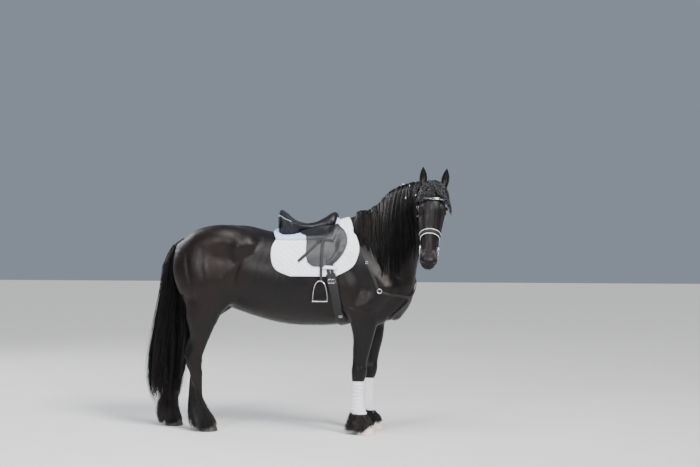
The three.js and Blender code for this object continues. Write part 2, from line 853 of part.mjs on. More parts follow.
function hoofSolid([x, y]) {
  const rings = HOOF_RINGS.map(([z, front, back, wide]) =>
    Array.from({ length: HOOF_SIDES }, (_, i) => {
      const turn = (2 * Math.PI * i) / HOOF_SIDES;
      const ahead = Math.cos(turn);
      return vec(x + ahead * (ahead > 0 ? front : back), y + Math.sin(turn) * wide, z);
    }),
  );
  return solid(loft(rings));
}

// Hair in flat, tapered locks
let seed = 11;
function random() {
  seed = (seed * 16807) % 2147483647;
  return seed / 2147483647;
}
const within = (low, high) => lerp(low, high, random());

const LOCK_WIDTH = [
  // share of the length from the root, and the width there as a share of the widest
  [0, 0.32],
  [0.25, 0.9],
  [0.5, 1],
  [0.8, 0.74],
  [1, 0.3],
];

const LOCK_TAPER = [
  // the same for a lock that keeps its share of a form's girth up to its tip
  [0, 0.9],
  [0.6, 1],
  [0.85, 0.7],
  [1, 0.3],
];

// A lock runs along its path with its flat side turned to face outwards, and ends in a point
function lockSolid(path, facing, widthAt, thickness) {
  const last = path.length - 1;
  const rings = path.slice(0, -1).map((p, i) => {
    const along = path[i + 1].clone().sub(path[Math.max(i - 1, 0)]).normalize();
    const out = facing(p);
    out.addScaledVector(along, -out.dot(along)).normalize();
    const across = along.clone().cross(out);
    const wide = widthAt(i / last) / 2;
    const thick = (thickness / 2) * lerp(1, 0.6, i / last);
    const corner = (a, o) => p.clone().addScaledVector(across, a).addScaledVector(out, o);
    return [corner(wide, 0), corner(0, thick), corner(-wide, 0), corner(0, -thick)];
  });
  return solid(loft(rings, { end: path[last] }));
}

// A place in a form swept down its rows: t from its top to its foot, turn about it, share of its reach
function inForm(rows, t, turn, share) {
  const place = clamp(t, 0, 1) * (rows.length - 1);
  const i = Math.min(Math.floor(place), rows.length - 2);
  const [x, y, z, wide, ahead, behind] = rows[i].map((v, c) => lerp(v, rows[i + 1][c], place - i));
  const forwards = Math.cos(turn);
  return vec(
    x + share * forwards * (forwards > 0 ? ahead : behind),
    y + share * Math.sin(turn) * wide,
    z,
  );
}

// A lock in such a form, from a root near its core out to its tip, one of some that stand side by side
function lockInForm(rows, { turn, from, to, share, root, sway, steps, beside, fill, thickness }) {
  const phase = within(0, 2 * Math.PI);
  const path = Array.from({ length: steps + 1 }, (_, i) => {
    const s = i / steps;
    const out = lerp(root, share, Math.min(1, s * 2.2));
    return inForm(rows, lerp(from, to, s), turn + sway * Math.sin(phase + 4 * s) * s, out);
  });
  const facing = () => vec(Math.cos(turn), Math.sin(turn), 0);
  const widthAt = (s) => {
    const out = lerp(root, share, Math.min(1, s * 2.2));
    const [t, quarter] = [lerp(from, to, s), Math.PI / 2];
    const across = inForm(rows, t, quarter, out).distanceTo(inForm(rows, t, -quarter, out));
    const along = inForm(rows, t, 0, out).distanceTo(inForm(rows, t, 2 * quarter, out));
    return ((fill * quarter * (across + along)) / beside) * curveAt(LOCK_TAPER, s);
  };
  return lockSolid(path, facing, widthAt, thickness);
}

// Feathers: the long hair that falls from the fetlock over the hoof
const FEATHER = { back: 16, front: 46, locks: 10, thickness: 9 };
const FEATHER_FORM = {
  // how far the middle lies ahead of the hoof's, height, half width, reach ahead and behind
  fore: [
    [-34, 146, 40, 30, 50],
    [-22, 113, 58, 50, 86],
    [-14, 80, 82, 70, 112],
    [-10, 47, 96, 84, 124],
    [-10, 14, 92, 76, 112],
  ],
  hind: [
    [-80, 250, 36, 34, 38],
    [-66, 191, 54, 58, 70],
    [-40, 132, 80, 80, 112],
    [-18, 73, 96, 88, 140],
    [-12, 14, 92, 78, 134],
  ],
};

function featherLocks([x, y], end) {
  const rows = FEATHER_FORM[end].map(([ahead, z, ...reach]) => [x + ahead, y, z, ...reach]);
  const [top, foot] = [rows[0][2], rows.at(-1)[2]];
  return Array.from({ length: FEATHER.locks }, (_, i) => {
    const turn = (2 * Math.PI * (i + within(0.4, 0.6))) / FEATHER.locks;
    const rear = (1 - Math.cos(turn)) / 2;
    const tip = lerp(FEATHER.front, FEATHER.back, Math.min(1, rear * 1.6)) + within(0, 10);
    return lockInForm(rows, {
      turn,
      from: lerp(0.5, 0.04, rear) + (i % 2 ? 0 : 0.16),
      to: (top - tip) / (top - foot),
      share: i % 2 ? 1 : 0.82,
      root: 0.3,
      sway: 0.12,
      steps: 4,
      beside: FEATHER.locks / 2,
      fill: within(0.8, 0.9),
      thickness: FEATHER.thickness,
    });
  });
}

function coreOf(rows, share, sides) {
  const core = rows.map(([x, y, z, ...reach]) => [x, y, z, ...reach.map((r) => r * share)]);
  return solid(ovals(core, sides, { side: ACROSS, steps: 1 }));
}

for (const [name, side] of SIDES)
  for (const end of ["fore", "hind"]) {
    const place = HOOF_AT[end][side];
    const hoof = hoofSolid(place);
    const cannon = flesh[end + "_cannon_" + name];
    const foot = featherLocks(place, end).reduce((made, lock) => made.add(lock), cannon);
    nodes[end + "_foot_" + name] = largest(foot.subtract(inflated(hoof, GAP * 2)).subtract(hoof));
    nodes[end + "_hoof_" + name] = hoof;
    delete flesh[end + "_cannon_" + name];
  }

// Ears: a leaf-shaped cup on each side of the poll
const EAR_ROWS = [
  // height along the ear, half width, depth, how far the cup is hollowed
  [0, 20, 17, 0.1],
  [28, 27, 24, 0.5],
  [62, 31, 24, 0.72],
  [98, 27, 19, 0.78],
  [128, 17, 12, 0.8],
  [148, 7, 5, 0.8],
];
const EAR_OPENING = 64; // degrees left open on each side of the front
const EAR_TIP = 158;

function earSolid(side) {
  const arc = (w, d, share) =>
    Array.from({ length: 6 }, (_, i) => {
      const turn = degToRad(lerp(EAR_OPENING, 360 - EAR_OPENING, i / 5));
      return [d * share * Math.cos(turn), w * share * Math.sin(turn)];
    });
  const rings = EAR_ROWS.map(([z, w, d, hollow]) => {
    const outside = arc(w, d, 1);
    const inside = arc(w, d, hollow).reverse();
    return [...outside, ...inside].map(([x, y]) => vec(x, y, z));
  });
  const geometry = loft(rings, { end: vec(0, 0, EAR_TIP) });
  geometry.rotateZ(degToRad(side * -8)).rotateX(degToRad(side * -4)).rotateY(degToRad(10));
  geometry.translate(-56, side * 78, 24).applyMatrix4(headMatrix);
  return solid(signedVolume(geometry) < 0 ? turnedInsideOut(geometry) : geometry);
}

// Eyes: a ball in each side of the head, between an upper and a lower lid
const EYE_RADIUS = 20;
const EYE_SUNK = 9; // how far the ball's middle lies under the flesh
const EYE_HEIGHT = -160; // in the head's frame
const EYE_TURN = 66; // degrees from straight ahead, about the head's axis

// The middle of an eye, and the directions out of, along and up the opening between its lids
function eyeFrame(side) {
  const turn = degToRad(EYE_TURN);
  const inside = onHead(HEAD_AXIS_X, 0, EYE_HEIGHT);
  const beyond = onHead(HEAD_AXIS_X + Math.cos(turn), side * Math.sin(turn), EYE_HEIGHT);
  const centre = settled(headFlesh, reach(headFlesh, inside, beyond), -EYE_SUNK);
  const out = beyond.sub(inside).normalize();
  const up = vec(0, 0, 1).transformDirection(headMatrix);
  return { centre, out, up, along: out.clone().cross(up).multiplyScalar(-side) };
}

function eyeSolid(side, radius) {
  const ball = new THREE.SphereGeometry(radius, 8, 6);
  return solid(ball.translate(...eyeFrame(side).centre));
}

function lidSolid(side, above) {
  const { centre, out, up, along } = eyeFrame(side);
  const rows = Array.from({ length: 5 }, (_, i) => {
    const swing = degToRad(lerp(-88, 88, i / 4));
    const thick = lerp(2.5, 6.5, Math.cos(swing));
    const at = centre
      .clone()
      .addScaledVector(along, EYE_RADIUS * 1.25 * Math.sin(swing))
      .addScaledVector(out, 2 + EYE_RADIUS * 0.66 * Math.cos(swing))
      .addScaledVector(up, above * EYE_RADIUS * 0.72 * Math.cos(swing));
    return [at.x, at.y, at.z, thick, thick, thick];
  });
  return solid(ovals(rows, 4, { steps: 1 }));
}

// Nostrils and the line of the mouth, cut into the head
function nostrilSolid(side) {
  const rows = [
    [-14, side * 25, -588, 5, 7, 7],
    [-20, side * 42, -582, 9, 13, 13],
    [-36, side * 54, -560, 8, 12, 12],
    [-52, side * 60, -540, 3, 5, 5],
  ];
  const geometry = ovals(rows, 6, { steps: 1 });
  geometry.applyMatrix4(headMatrix);
  return solid(signedVolume(geometry) < 0 ? turnedInsideOut(geometry) : geometry);
}

function mouthSolid() {
  const points = [
    [-108, 52, -512],
    [-92, 52, -560],
    [-84, 40, -606],
    [-78, 22, -626],
    [-76, 0, -630],
  ];
  const path = [...points, ...points.slice(0, -1).reverse().map(([x, y, z]) => [x, -y, z])];
  const grid = path.map(([x, y, z]) => {
    const p = onHead(x, y, z);
    const lower = onHead(x - 3, y, z - 2.2);
    return [p, lower];
  });
  return sheet(grid, headFlesh, -7, 12);
}

let head = flesh.head;
for (const [, side] of SIDES) {
  head = head.add(lidSolid(side, 1)).add(lidSolid(side, -1));
  head = head.subtract(eyeSolid(side, EYE_RADIUS + GAP)).subtract(nostrilSolid(side));
}
head = head.subtract(mouthSolid());
nodes.torso = flesh.torso;
nodes.neck = flesh.neck;
for (const [name, side] of SIDES) {
  nodes["eye_" + name] = eyeSolid(side, EYE_RADIUS);
  nodes["foreleg_" + name] = flesh["foreleg_" + name];
  nodes["hind_leg_" + name] = flesh["hind_leg_" + name];
}

// Tail as one smooth form
const TAIL = [
  [-796, 0, 1476, 22, 22, 22],
  [-838, 0, 1498, 26, 26, 26],
  [-900, 0, 1440, 44, 44, 44],
  [-935, 4, 1300, 62, 62, 66],
  [-940, 8, 1100, 76, 92, 82],
  [-962, 10, 880, 84, 120, 106],
  [-985, 12, 640, 88, 142, 134],
  [-1000, 12, 420, 84, 142, 150],
  [-1004, 12, 280, 62, 118, 134],
  [-1000, 12, 205, 34, 70, 80],
];
const TAIL_LOCKS = { core: 0.42, count: 18, thickness: 11 };

function tailSolid() {
  const coreRows = TAIL.slice(0, 8);
  const dock = TAIL.slice(0, 3);
  const core = coreOf(coreRows, TAIL_LOCKS.core, 10).add(solid(ovals(dock, 10, { side: ACROSS, steps: 1 })));
  const locks = Array.from({ length: TAIL_LOCKS.count }, (_, i) => {
    const turn = (2 * Math.PI * (i + within(0.4, 0.6))) / TAIL_LOCKS.count;
    const inner = i % 2;
    return lockInForm(TAIL, {
      turn,
      from: inner ? 0.36 : 0.13,
      to: within(0.9, 1),
      share: inner ? 0.8 : 1,
      root: 0.34,
      sway: 0.06,
      steps: inner ? 5 : 7,
      beside: TAIL_LOCKS.count / 2,
      fill: within(0.82, 0.9),
      thickness: TAIL_LOCKS.thickness,
    });
  });
  return locks.reduce((made, lock) => made.add(lock), core);
}
const besideTail = [nodes.torso, nodes.hind_foot_left, nodes.hind_leg_left, nodes.hind_leg_right];
nodes.tail = clearOf(tailSolid(), ...besideTail);

// Locks that lie on the flesh: each leaves its root along its heading and bends towards its fall
function lockOnFlesh(field, { root, heading, fall, length, steps, lift, width, thickness, sway }) {
  const path = [settled(field, root, -12)];
  const way = heading.clone().normalize();
  const side = heading.clone().cross(fall).normalize();
  const phase = within(0, 2 * Math.PI);
  for (let i = 1; i <= steps; i++) {
    way.lerp(fall, i === 1 ? 0.1 : 0.55).normalize();
    const next = path.at(-1).clone().addScaledVector(way, length / steps);
    next.addScaledVector(side, sway * Math.sin(phase + i * 1.3));
    path.push(settled(field, next, lift));
  }
  const widthAt = (s) => width * curveAt(LOCK_WIDTH, s);
  return lockSolid(path, (p) => outward(field, p).normalize(), widthAt, thickness);
}

const FORELOCK = { count: 6, width: 22, thickness: 7, length: 165 };
function forelockSolids() {
  const down = vec(0, 0, -1).transformDirection(headMatrix);
  return Array.from({ length: FORELOCK.count }, (_, i) => {
    const y = lerp(-46, 46, i / (FORELOCK.count - 1));
    return lockOnFlesh(headFlesh, {
      root: onHead(-40 + within(-10, 10), y, 40),
      heading: vec(0.9, (y / 46) * 0.4, -0.2).transformDirection(headMatrix),
      fall: vec(0, -0.25 + (y / 46) * 0.2, -1).transformDirection(headMatrix).lerp(down, 0.3),
      length: FORELOCK.length * within(0.8, 1.15),
      steps: 5,
      lift: 4,
      width: FORELOCK.width,
      thickness: FORELOCK.thickness,
      sway: 4,
    });
  });
}
nodes.head = clearOf(forelockSolids().reduce((made, lock) => made.add(lock), head), nodes.neck);
for (const [name, side] of SIDES) nodes["ear_" + name] = clearOf(earSolid(side), nodes.head, nodes.neck);

const MANE_ROOT = [
  // the crest, from the withers to the poll
  [560, 0, 1660],
  [660, 0, 1745],
  [760, -8, 1822],
  [860, -40, 1888],
  [950, -90, 1925],
  [1020, -150, 1940],
  [1070, -205, 1940],
];
const MANE_LENGTH = [
  // place along the crest from 0 to 1, and how far the hair hangs
  [0, 260],
  [0.2, 400],
  [0.6, 560],
  [1, 520],
];
const MANE = { count: 24, width: 60, thickness: 8, steps: 6, lifts: [13, 31] };
const maneCurve = new THREE.CatmullRomCurve3(MANE_ROOT.map((p) => vec(...p)));

function maneSolids() {
  return Array.from({ length: MANE.count }, (_, i) => {
    const u = (i + within(0.4, 0.6)) / MANE.count;
    const right = maneCurve.getTangent(u).cross(UP).normalize();
    const upper = i % 2;
    return lockOnFlesh(neckFlesh, {
      root: maneCurve.getPoint(u).addScaledVector(right, upper ? -16 : 10),
      heading: right.clone().addScaledVector(UP, upper ? 0.8 : 0.2),
      fall: vec(0.1 * Math.sin(9 * u) + within(-0.03, 0.03), 0, -1).normalize(),
      length: curveAt(MANE_LENGTH, u) * within(0.86, 1.05),
      steps: MANE.steps,
      lift: MANE.lifts[upper],
      width: MANE.width * within(0.9, 1.05),
      thickness: MANE.thickness,
      sway: 4,
    });
  });
}
const mane = maneSolids().reduce((made, lock) => made.add(lock));
nodes.neck = largest(nodes.neck.add(mane.subtract(inflated(nodes.torso, SWELL)).subtract(inflated(nodes.head, SWELL))));

// Leg wraps, from under the knee to the fetlock
for (const [name, side] of SIDES) {
  const cannon = fleshOf(fore[side].cannon);
  const heights = [WRAP.top, 320, 235, 192, WRAP.bottom];
  const field = (p) => cannon(p) - WRAP.thickness;
  const roll = legSolid(field, FORE_CANNON, side, LEFT_FORE_SHIFT, heights, 10);
  nodes["wrap_" + name] = clearOf(roll, nodes["fore_foot_" + name]);
}

// Saddle pad, half pad and flaps lie on the back in layers, each as far off the coat as LAYER says
const LAYER = {
  pad: [4, 8],
  halfPad: [15, 18],
  flap: [15, 5],
  girth: [4, 7],
};
const PAD_SWEEP = 87.5; // degrees from the topline to the pad's lower edge
const PAD_AXIS = 1200; // height of the line that the pad's rows are swept about
const PAD_REAR = [
  [0, -45],
  [0.3, -70],
  [0.55, -97],
  [0.8, -80],
  [0.93, -28],
  [1, 60],
];
const PAD_FRONT = [
  [0, 470],
  [0.25, 540],
  [0.5, 576],
  [0.75, 548],
  [0.9, 478],
  [1, 400],
];

// The point on the back at x, a share of the way from the topline down to the pad's lower edge
function onBack(x, share, side) {
  const turn = degToRad(PAD_SWEEP * share);
  return reach(trunkFlesh, vec(x, 0, PAD_AXIS), vec(x, side * Math.sin(turn), PAD_AXIS + Math.cos(turn)));
}

function saddlecloth(rear, frontEdge, lowest, columns, rows, lift, thickness) {
  const grid = Array.from({ length: 2 * rows + 1 }, (_, r) => {
    const share = (lowest * Math.abs(r - rows)) / rows;
    const [from, to] = [curveAt(rear, share), curveAt(frontEdge, share)];
    const side = r < rows ? LEFT : RIGHT;
    return Array.from({ length: columns + 1 }, (_, c) => onBack(lerp(from, to, c / columns), share, side));
  });
  return sheet(grid, trunkFlesh, lift, thickness);
}
nodes.saddle_pad = clearOf(saddlecloth(PAD_REAR, PAD_FRONT, 1, 7, 6, ...LAYER.pad), nodes.torso, nodes.neck);

const HALF_PAD_REAR = [
  [0, -100],
  [0.2, -106],
  [0.38, -70],
];
const HALF_PAD_FRONT = [
  [0, 400],
  [0.2, 440],
  [0.38, 420],
];
const halfPadRows = 4;
const halfPad = saddlecloth(HALF_PAD_REAR, HALF_PAD_FRONT, 0.38, 7, halfPadRows, LAYER.halfPad[0], (r, c) => {
  const edge = Math.abs(r - halfPadRows) === halfPadRows || c === 0 || c === 7;
  return edge ? 10 : LAYER.halfPad[1];
});
nodes.half_pad = clearOf(halfPad, nodes.saddle_pad);

// Saddle seat: rings across the horse, from the back of the cantle to the pommel
const SEAT_RINGS = [
  // x, half width, height in the middle, height at the edges
  [-78, 60, 1690, 1660],
  [-66, 130, 1722, 1668],
  [-38, 178, 1706, 1672],
  [0, 188, 1662, 1650],
  [60, 176, 1630, 1626],
  [130, 142, 1618, 1606],
  [210, 104, 1630, 1604],
  [280, 92, 1664, 1622],
  [330, 92, 1696, 1640],
  [362, 84, 1704, 1652],
  [380, 60, 1690, 1656],
];
const SEAT_LIFT = 37;

function seatSolid() {
  const rings = SEAT_RINGS.map(([x, wide, middle, edge]) => {
    const top = [-1, -0.8, -0.45, 0, 0.45, 0.8, 1].map((share) => {
      const crown = share ** 2;
      return vec(x, wide * share, lerp(middle, edge, crown));
    });
    const under = [1, 0.55, 0, -0.55, -1].map((share) => {
      const back = reach(trunkFlesh, vec(x, 0, PAD_AXIS), vec(x, wide * share, 1540));
      return settled(trunkFlesh, back, SEAT_LIFT);
    });
    return [...top, ...under];
  });
  return solid(loft(rings));
}
nodes.saddle_seat = clearOf(seatSolid(), nodes.half_pad, nodes.saddle_pad);

// Flaps, with a knee roll under the leather along the front
const FLAP_ROWS = [
  // share of the pad's sweep, rear edge, front edge, lift
  [0.26, 130, 330, 37],
  [0.36, 150, 400, 36],
  [0.44, 172, 456, 18],
  [0.55, 188, 488, 15],
  [0.66, 193, 478, 15],
  [0.76, 200, 445, 15],
  [0.83, 212, 398, 15],
  [0.88, 240, 345, 15],
];
for (const [name, side] of SIDES) {
  const columns = 6;
  const grid = FLAP_ROWS.map(([share, rear, ahead]) =>
    Array.from({ length: columns + 1 }, (_, c) => onBack(lerp(rear, ahead, c / columns), share, side)),
  );
  const roll = (r, c) => (c >= 4 && c < columns && r > 1 && r < 6 ? LAYER.flap[1] + 13 : LAYER.flap[1]);
  const flap = sheet(grid, trunkFlesh, (r) => FLAP_ROWS[r][3], roll);
  nodes["flap_" + name] = clearOf(flap, nodes.saddle_seat, nodes.half_pad, nodes.saddle_pad);
}

// The girth runs from under one flap to the other, and a keeper on the pad holds each end
const GIRTH_SIDE = [
  // x, z
  [356, 1298],
  [366, 1230],
  [388, 1120],
  [408, 1000],
  [424, 900],
];
const onFlank = (x, z, side) => reach(trunkFlesh, vec(x, 0, z), vec(x, side, z));
const girthPath = [
  ...GIRTH_SIDE.map(([x, z]) => onFlank(x, z, LEFT)),
  reach(trunkFlesh, vec(432, 0, 1000), vec(432, 60, 0)),
  reach(trunkFlesh, vec(432, 0, 1000), vec(432, -60, 0)),
  ...GIRTH_SIDE.map(([x, z]) => onFlank(x, z, RIGHT)).reverse(),
];
const girthSteps = 2;
const girthRows = (girthPath.length - 1) * girthSteps;
const girthLift = (r) => {
  const fromEnd = Math.min(r, girthRows - r);
  return lerp(15, LAYER.girth[0], clamp((fromEnd - 3) / 2, 0, 1));
};
const girthShape = { steps: girthSteps, columns: 2 };
const girth = strap(trunkFlesh, girthPath, 72, girthLift, LAYER.girth[1], girthShape);
nodes.girth = clearOf(girth, nodes.saddle_pad, nodes.torso, nodes.flap_right, nodes.flap_left);

for (const [name, side] of SIDES) {
  const keeperPath = [
    [300, 1279],
    [322, 1278],
    [360, 1276],
    [398, 1273],
    [420, 1272],
  ].map(([x, z]) => onFlank(x, z, side));
  const bridge = (r) => (r === 0 || r === 4 ? 14 : 25);
  const keeper = strap(trunkFlesh, keeperPath, 22, bridge, 3, { steps: 1, columns: 2 });
  nodes["keeper_" + name] = clearOf(keeper, nodes.girth, nodes.saddle_pad, nodes["flap_" + name]);
}

// Stirrup leathers lie over the flaps and end at the eyes of the irons
const LEATHER_X = 293;
const IRON = { eye: 1178, tread: 1026, half: 56, rod: 5.5, depth: 21 };
for (const [name, side] of SIDES) {
  const path = [1545, 1480, 1400, 1320, 1250, 1210, 1168].map((z) => onFlank(LEATHER_X, z, side));
  const thick = (r) => (r < 10 ? 6 : 14);
  const leather = strap(trunkFlesh, path, 25, 24, thick, { steps: 2, columns: 2 });
  nodes["stirrup_leather_" + name] = clearOf(leather, nodes["flap_" + name], nodes.saddle_pad);
  const end = [
    [268, 1520],
    [215, 1452],
    [168, 1384],
    [124, 1326],
  ].map(([x, z]) => onFlank(x, z, side));
  const endLift = (r) => (r < 4 ? 24 : 16);
  const tail = strap(trunkFlesh, end, 23, endLift, 3, { steps: 2, columns: 2 });
  const beside = [nodes["stirrup_leather_" + name], nodes["flap_" + name], nodes.saddle_pad];
  nodes["leather_end_" + name] = clearOf(tail, ...beside);
}

// Half of the bow, from the top down: distance from the middle, height over the tread
const BOW = [
  [0, 152],
  [22, 146],
  [38, 124],
  [48, 92],
  [54, 56],
  [56, 24],
  [56, 0],
];

function ironSolid(side) {
  const { y } = onFlank(LEATHER_X, IRON.eye, side).add(vec(0, side * 31, 0));
  const half = BOW.slice(1).reverse();
  const whole = [...half.map(([x, z]) => [-x, z]), ...BOW];
  const rows = whole.map(([x, z]) => [LEATHER_X + x, y, IRON.tread + z, IRON.rod, IRON.rod, IRON.rod]);
  const bow = solid(ovals(rows, 5, { side: ACROSS, steps: 1 }));
  const low = vec(LEATHER_X - IRON.half - IRON.rod, y - IRON.depth, IRON.tread - 6);
  const high = vec(LEATHER_X + IRON.half + IRON.rod, y + IRON.depth, IRON.tread + 6);
  return bow.add(block(low, high));
}
for (const [name, side] of SIDES) {
  const iron = ironSolid(side);
  nodes["stirrup_" + name] = clearOf(iron, nodes["stirrup_leather_" + name]);
}

// Breastplate: a strap on each side from the pad to the chest, a ring on each, and one to the girth
const CHEST_POINT = [905, -52, 1056]; // where the straps of the two sides meet
const BREAST_SIDE = {
  [RIGHT]: [
    [612, -300, 1436],
    [648, -300, 1330],
    [694, -300, 1205],
    [742, -300, 1098],
    [845, -200, 1072],
    CHEST_POINT,
  ],
  [LEFT]: [
    [612, 300, 1436],
    [700, 300, 1400],
    [810, 200, 1340],
    [890, 120, 1260],
    [960, 40, 1160],
    CHEST_POINT,
  ],
};
const onTrunk = ([x, y, z]) => settled(trunkFlesh, vec(x, y, z), 0);
for (const [name, side] of SIDES) {
  const breastStrap = strap(trunkFlesh, BREAST_SIDE[side].map(onTrunk), 22, 4, 4, { steps: 3, columns: 2 });
  const beside = [nodes.torso, nodes.neck, nodes.saddle_pad, nodes.breast_strap_right].filter(Boolean);
  nodes["breast_strap_" + name] = clearOf(breastStrap, ...beside);
}
const ringAt = settled(trunkFlesh, vec(...BREAST_SIDE[RIGHT][3]), 14);
const breastRing = new THREE.TorusGeometry(17, 3, 5, 10);
const ringFace = outward(trunkFlesh, ringAt).normalize();
breastRing.applyQuaternion(new THREE.Quaternion().setFromUnitVectors(UP, ringFace));
nodes.breast_ring = clearOf(solid(breastRing.translate(...ringAt)), nodes.breast_strap_right, nodes.torso);
const UNDER_PATH = [
  [900, -52, 1036],
  [830, -60, 962],
  [745, -60, 905],
  [655, -42, 858],
  [560, -15, 832],
  [482, 0, 822],
];
nodes.breast_under_strap = clearOf(
  strap(trunkFlesh, UNDER_PATH.map(onTrunk), 26, 4, 4, { steps: 2, columns: 2 }),
  nodes.torso,
  nodes.neck,
  nodes.girth,
  nodes.foreleg_right,
  nodes.foreleg_left,
  nodes.breast_strap_right,
  nodes.breast_strap_left,
);

// Bridle, laid on the head. Rings are swept about the head's axis.
const BRIDLE = { lift: 5, leather: 4 };

function aroundHead(heightAt, turns) {
  return turns.map((degrees) => {
    const turn = degToRad(degrees);
    const z = heightAt(degrees);
    const ahead = onHead(HEAD_AXIS_X + 100 * Math.cos(turn), 100 * Math.sin(turn), z);
    return reach(headFlesh, onHead(HEAD_AXIS_X, 0, z), ahead);
  });
}
const besideHead = [nodes.head, nodes.neck, nodes.ear_right, nodes.ear_left];
function bridleStrap(points, width, { lift = BRIDLE.lift, ...options }) {
  const made = strap(headFlesh, points, width, lift, BRIDLE.leather, { columns: 2, ...options });
  return clearOf(made, ...besideHead);
}
const nosebandTurns = Array.from({ length: 12 }, (_, i) => i * 30);
const nosebandAt = (degrees) => -395 + 38 * Math.cos(degToRad(degrees));
nodes.noseband = bridleStrap(aroundHead(nosebandAt, nosebandTurns), 30, { loop: true, steps: 2 });
const browbandAt = (degrees) => -108 + 22 * Math.cos(degToRad(degrees));
const browbandTurns = [-96, -60, -25, 0, 25, 60, 96];
const browbandLift = (r) => lerp(10, 5, clamp(Math.abs(r - 6) / 6, 0, 1));
nodes.browband = bridleStrap(aroundHead(browbandAt, browbandTurns), 20, { steps: 2, lift: browbandLift });

for (const [name, side] of SIDES) {
  const cheek = [
    [-104, 96, -124],
    [-108, 98, -190],
    [-104, 84, -290],
    [-100, 74, -352],
  ].map(([x, y, z]) => reach(headFlesh, onHead(HEAD_AXIS_X, 0, z), onHead(x, side * y, z)));
  besideHead.push(nodes.noseband, nodes.browband);
  nodes["cheekpiece_" + name] = bridleStrap(cheek, 17, { steps: 2 });
  const lower = [
    [-98, 72, -420],
    [-98, 66, -452],
  ].map(([x, y, z]) => reach(headFlesh, onHead(HEAD_AXIS_X, 0, z), onHead(x, side * y, z)));
  nodes["bit_hanger_" + name] = bridleStrap(lower, 15, { steps: 2 });
  const bitRing = new THREE.TorusGeometry(36, 4, 5, 12);
  const mouthCorner = reach(headFlesh, onHead(HEAD_AXIS_X, 0, -494), onHead(HEAD_AXIS_X, side * 90, -494));
  const clear = settled(headFlesh, mouthCorner, 10);
  const out = vec(0, 1, 0).transformDirection(headMatrix);
  bitRing.applyQuaternion(new THREE.Quaternion().setFromUnitVectors(UP, out)).translate(...clear);
  nodes["bit_ring_" + name] = clearOf(solid(bitRing), nodes.head, nodes["bit_hanger_" + name]);
}
const headpieceRoute = [
  [-94, 96, -62],
  [-90, 92, -10],
  [-88, 50, 50],
  [-88, 0, 60],
];
const across = [...headpieceRoute, ...headpieceRoute.slice(0, -1).reverse().map(([x, y, z]) => [x, -y, z])];
const overPoll = across.map(([x, y, z]) => reach(headFlesh, onHead(-78, 0, -60), onHead(x, y, z)));
nodes.headpiece = bridleStrap(overPoll, 20, { steps: 2 });

// Everything is handed over as meshes, with the origin under the middle of the whole
const FINISH = {
  coat: ["#15100e", 0.42, 0],
  hair: ["#0f0d0d", 0.5, 0],
  hoof: ["#6d6058", 0.55, 0],
  eye: ["#120b08", 0.08, 0],
  leather: ["#121214", 0.35, 0],
  cloth: ["#f1f0f3", 0.9, 0],
  wrap: ["#e9e6ee", 0.95, 0],
  steel: ["#c8c9cc", 0.25, 1],
};
const FINISH_OF = [
  [/^eye/, "eye"],
  [/hoof/, "hoof"],
  [/^tail/, "hair"],
  [/^(saddle_pad|half_pad|keeper)/, "cloth"],
  [/^wrap/, "wrap"],
  [/^(stirrup_(right|left)|bit_ring|breast_ring)/, "steel"],
  [/^(saddle_seat|flap|girth|stirrup_leather|leather_end|breast|noseband|browband|cheek|headpiece)/, "leather"],
  [/^(bit_hanger)/, "leather"],
  [/./, "coat"],
];

const horse = new THREE.Group();
for (const [name, made] of Object.entries(nodes)) {
  const [color, roughness, metalness] = FINISH[FINISH_OF.find(([pattern]) => pattern.test(name))[1]];
  const material = new THREE.MeshStandardMaterial({ color, roughness, metalness });
  const mesh = new THREE.Mesh(geometryOf(made), material);
  mesh.name = name;
  horse.add(mesh);
}
const bounds = new THREE.Box3().setFromObject(horse);
const middle = bounds.getCenter(vec());
horse.position.set(-middle.x, -middle.y, -bounds.min.z);

export default horse;
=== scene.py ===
# A Friesian horse at rest, life size, under an English saddle, with its head turned to its right.
# The body is swept and measured in millimetres in a nominal frame: +X forward, +Y the horse's left,
# +Z up, the hooves on Z = 0. place() turns that into metres in the model's own frame.
import itertools
import math

import bpy
import numpy as np
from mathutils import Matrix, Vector


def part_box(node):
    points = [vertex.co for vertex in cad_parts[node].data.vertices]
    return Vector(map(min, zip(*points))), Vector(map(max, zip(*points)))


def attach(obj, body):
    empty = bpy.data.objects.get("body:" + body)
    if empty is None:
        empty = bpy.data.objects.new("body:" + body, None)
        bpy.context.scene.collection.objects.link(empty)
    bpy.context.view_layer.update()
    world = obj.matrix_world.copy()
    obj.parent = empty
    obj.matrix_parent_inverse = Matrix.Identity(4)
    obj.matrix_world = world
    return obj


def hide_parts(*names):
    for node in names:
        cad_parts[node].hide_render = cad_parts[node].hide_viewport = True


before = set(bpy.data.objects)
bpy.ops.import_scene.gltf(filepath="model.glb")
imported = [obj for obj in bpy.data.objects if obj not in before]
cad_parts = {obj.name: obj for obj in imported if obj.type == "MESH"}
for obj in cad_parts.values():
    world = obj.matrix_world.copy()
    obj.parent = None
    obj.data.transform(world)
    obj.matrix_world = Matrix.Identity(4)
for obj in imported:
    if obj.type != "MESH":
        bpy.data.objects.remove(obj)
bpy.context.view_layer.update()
RNG = np.random.default_rng(4274)
RIGHT, LEFT = -1, 1
SIDES = (("right", RIGHT), ("left", LEFT))

# The near fore hoof ties the nominal frame to the model's
NOMINAL_HOOF = (616.0, -135.0)
hoof_low, hoof_high = (np.array(corner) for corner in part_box("fore_hoof_right"))
SHIFT = (hoof_low + hoof_high) / 2 - np.array([NOMINAL_HOOF[0], NOMINAL_HOOF[1], 0]) / 1000
SHIFT[2] = hoof_low[2]


def place(points):
    return np.asarray(points, float) / 1000 + SHIFT


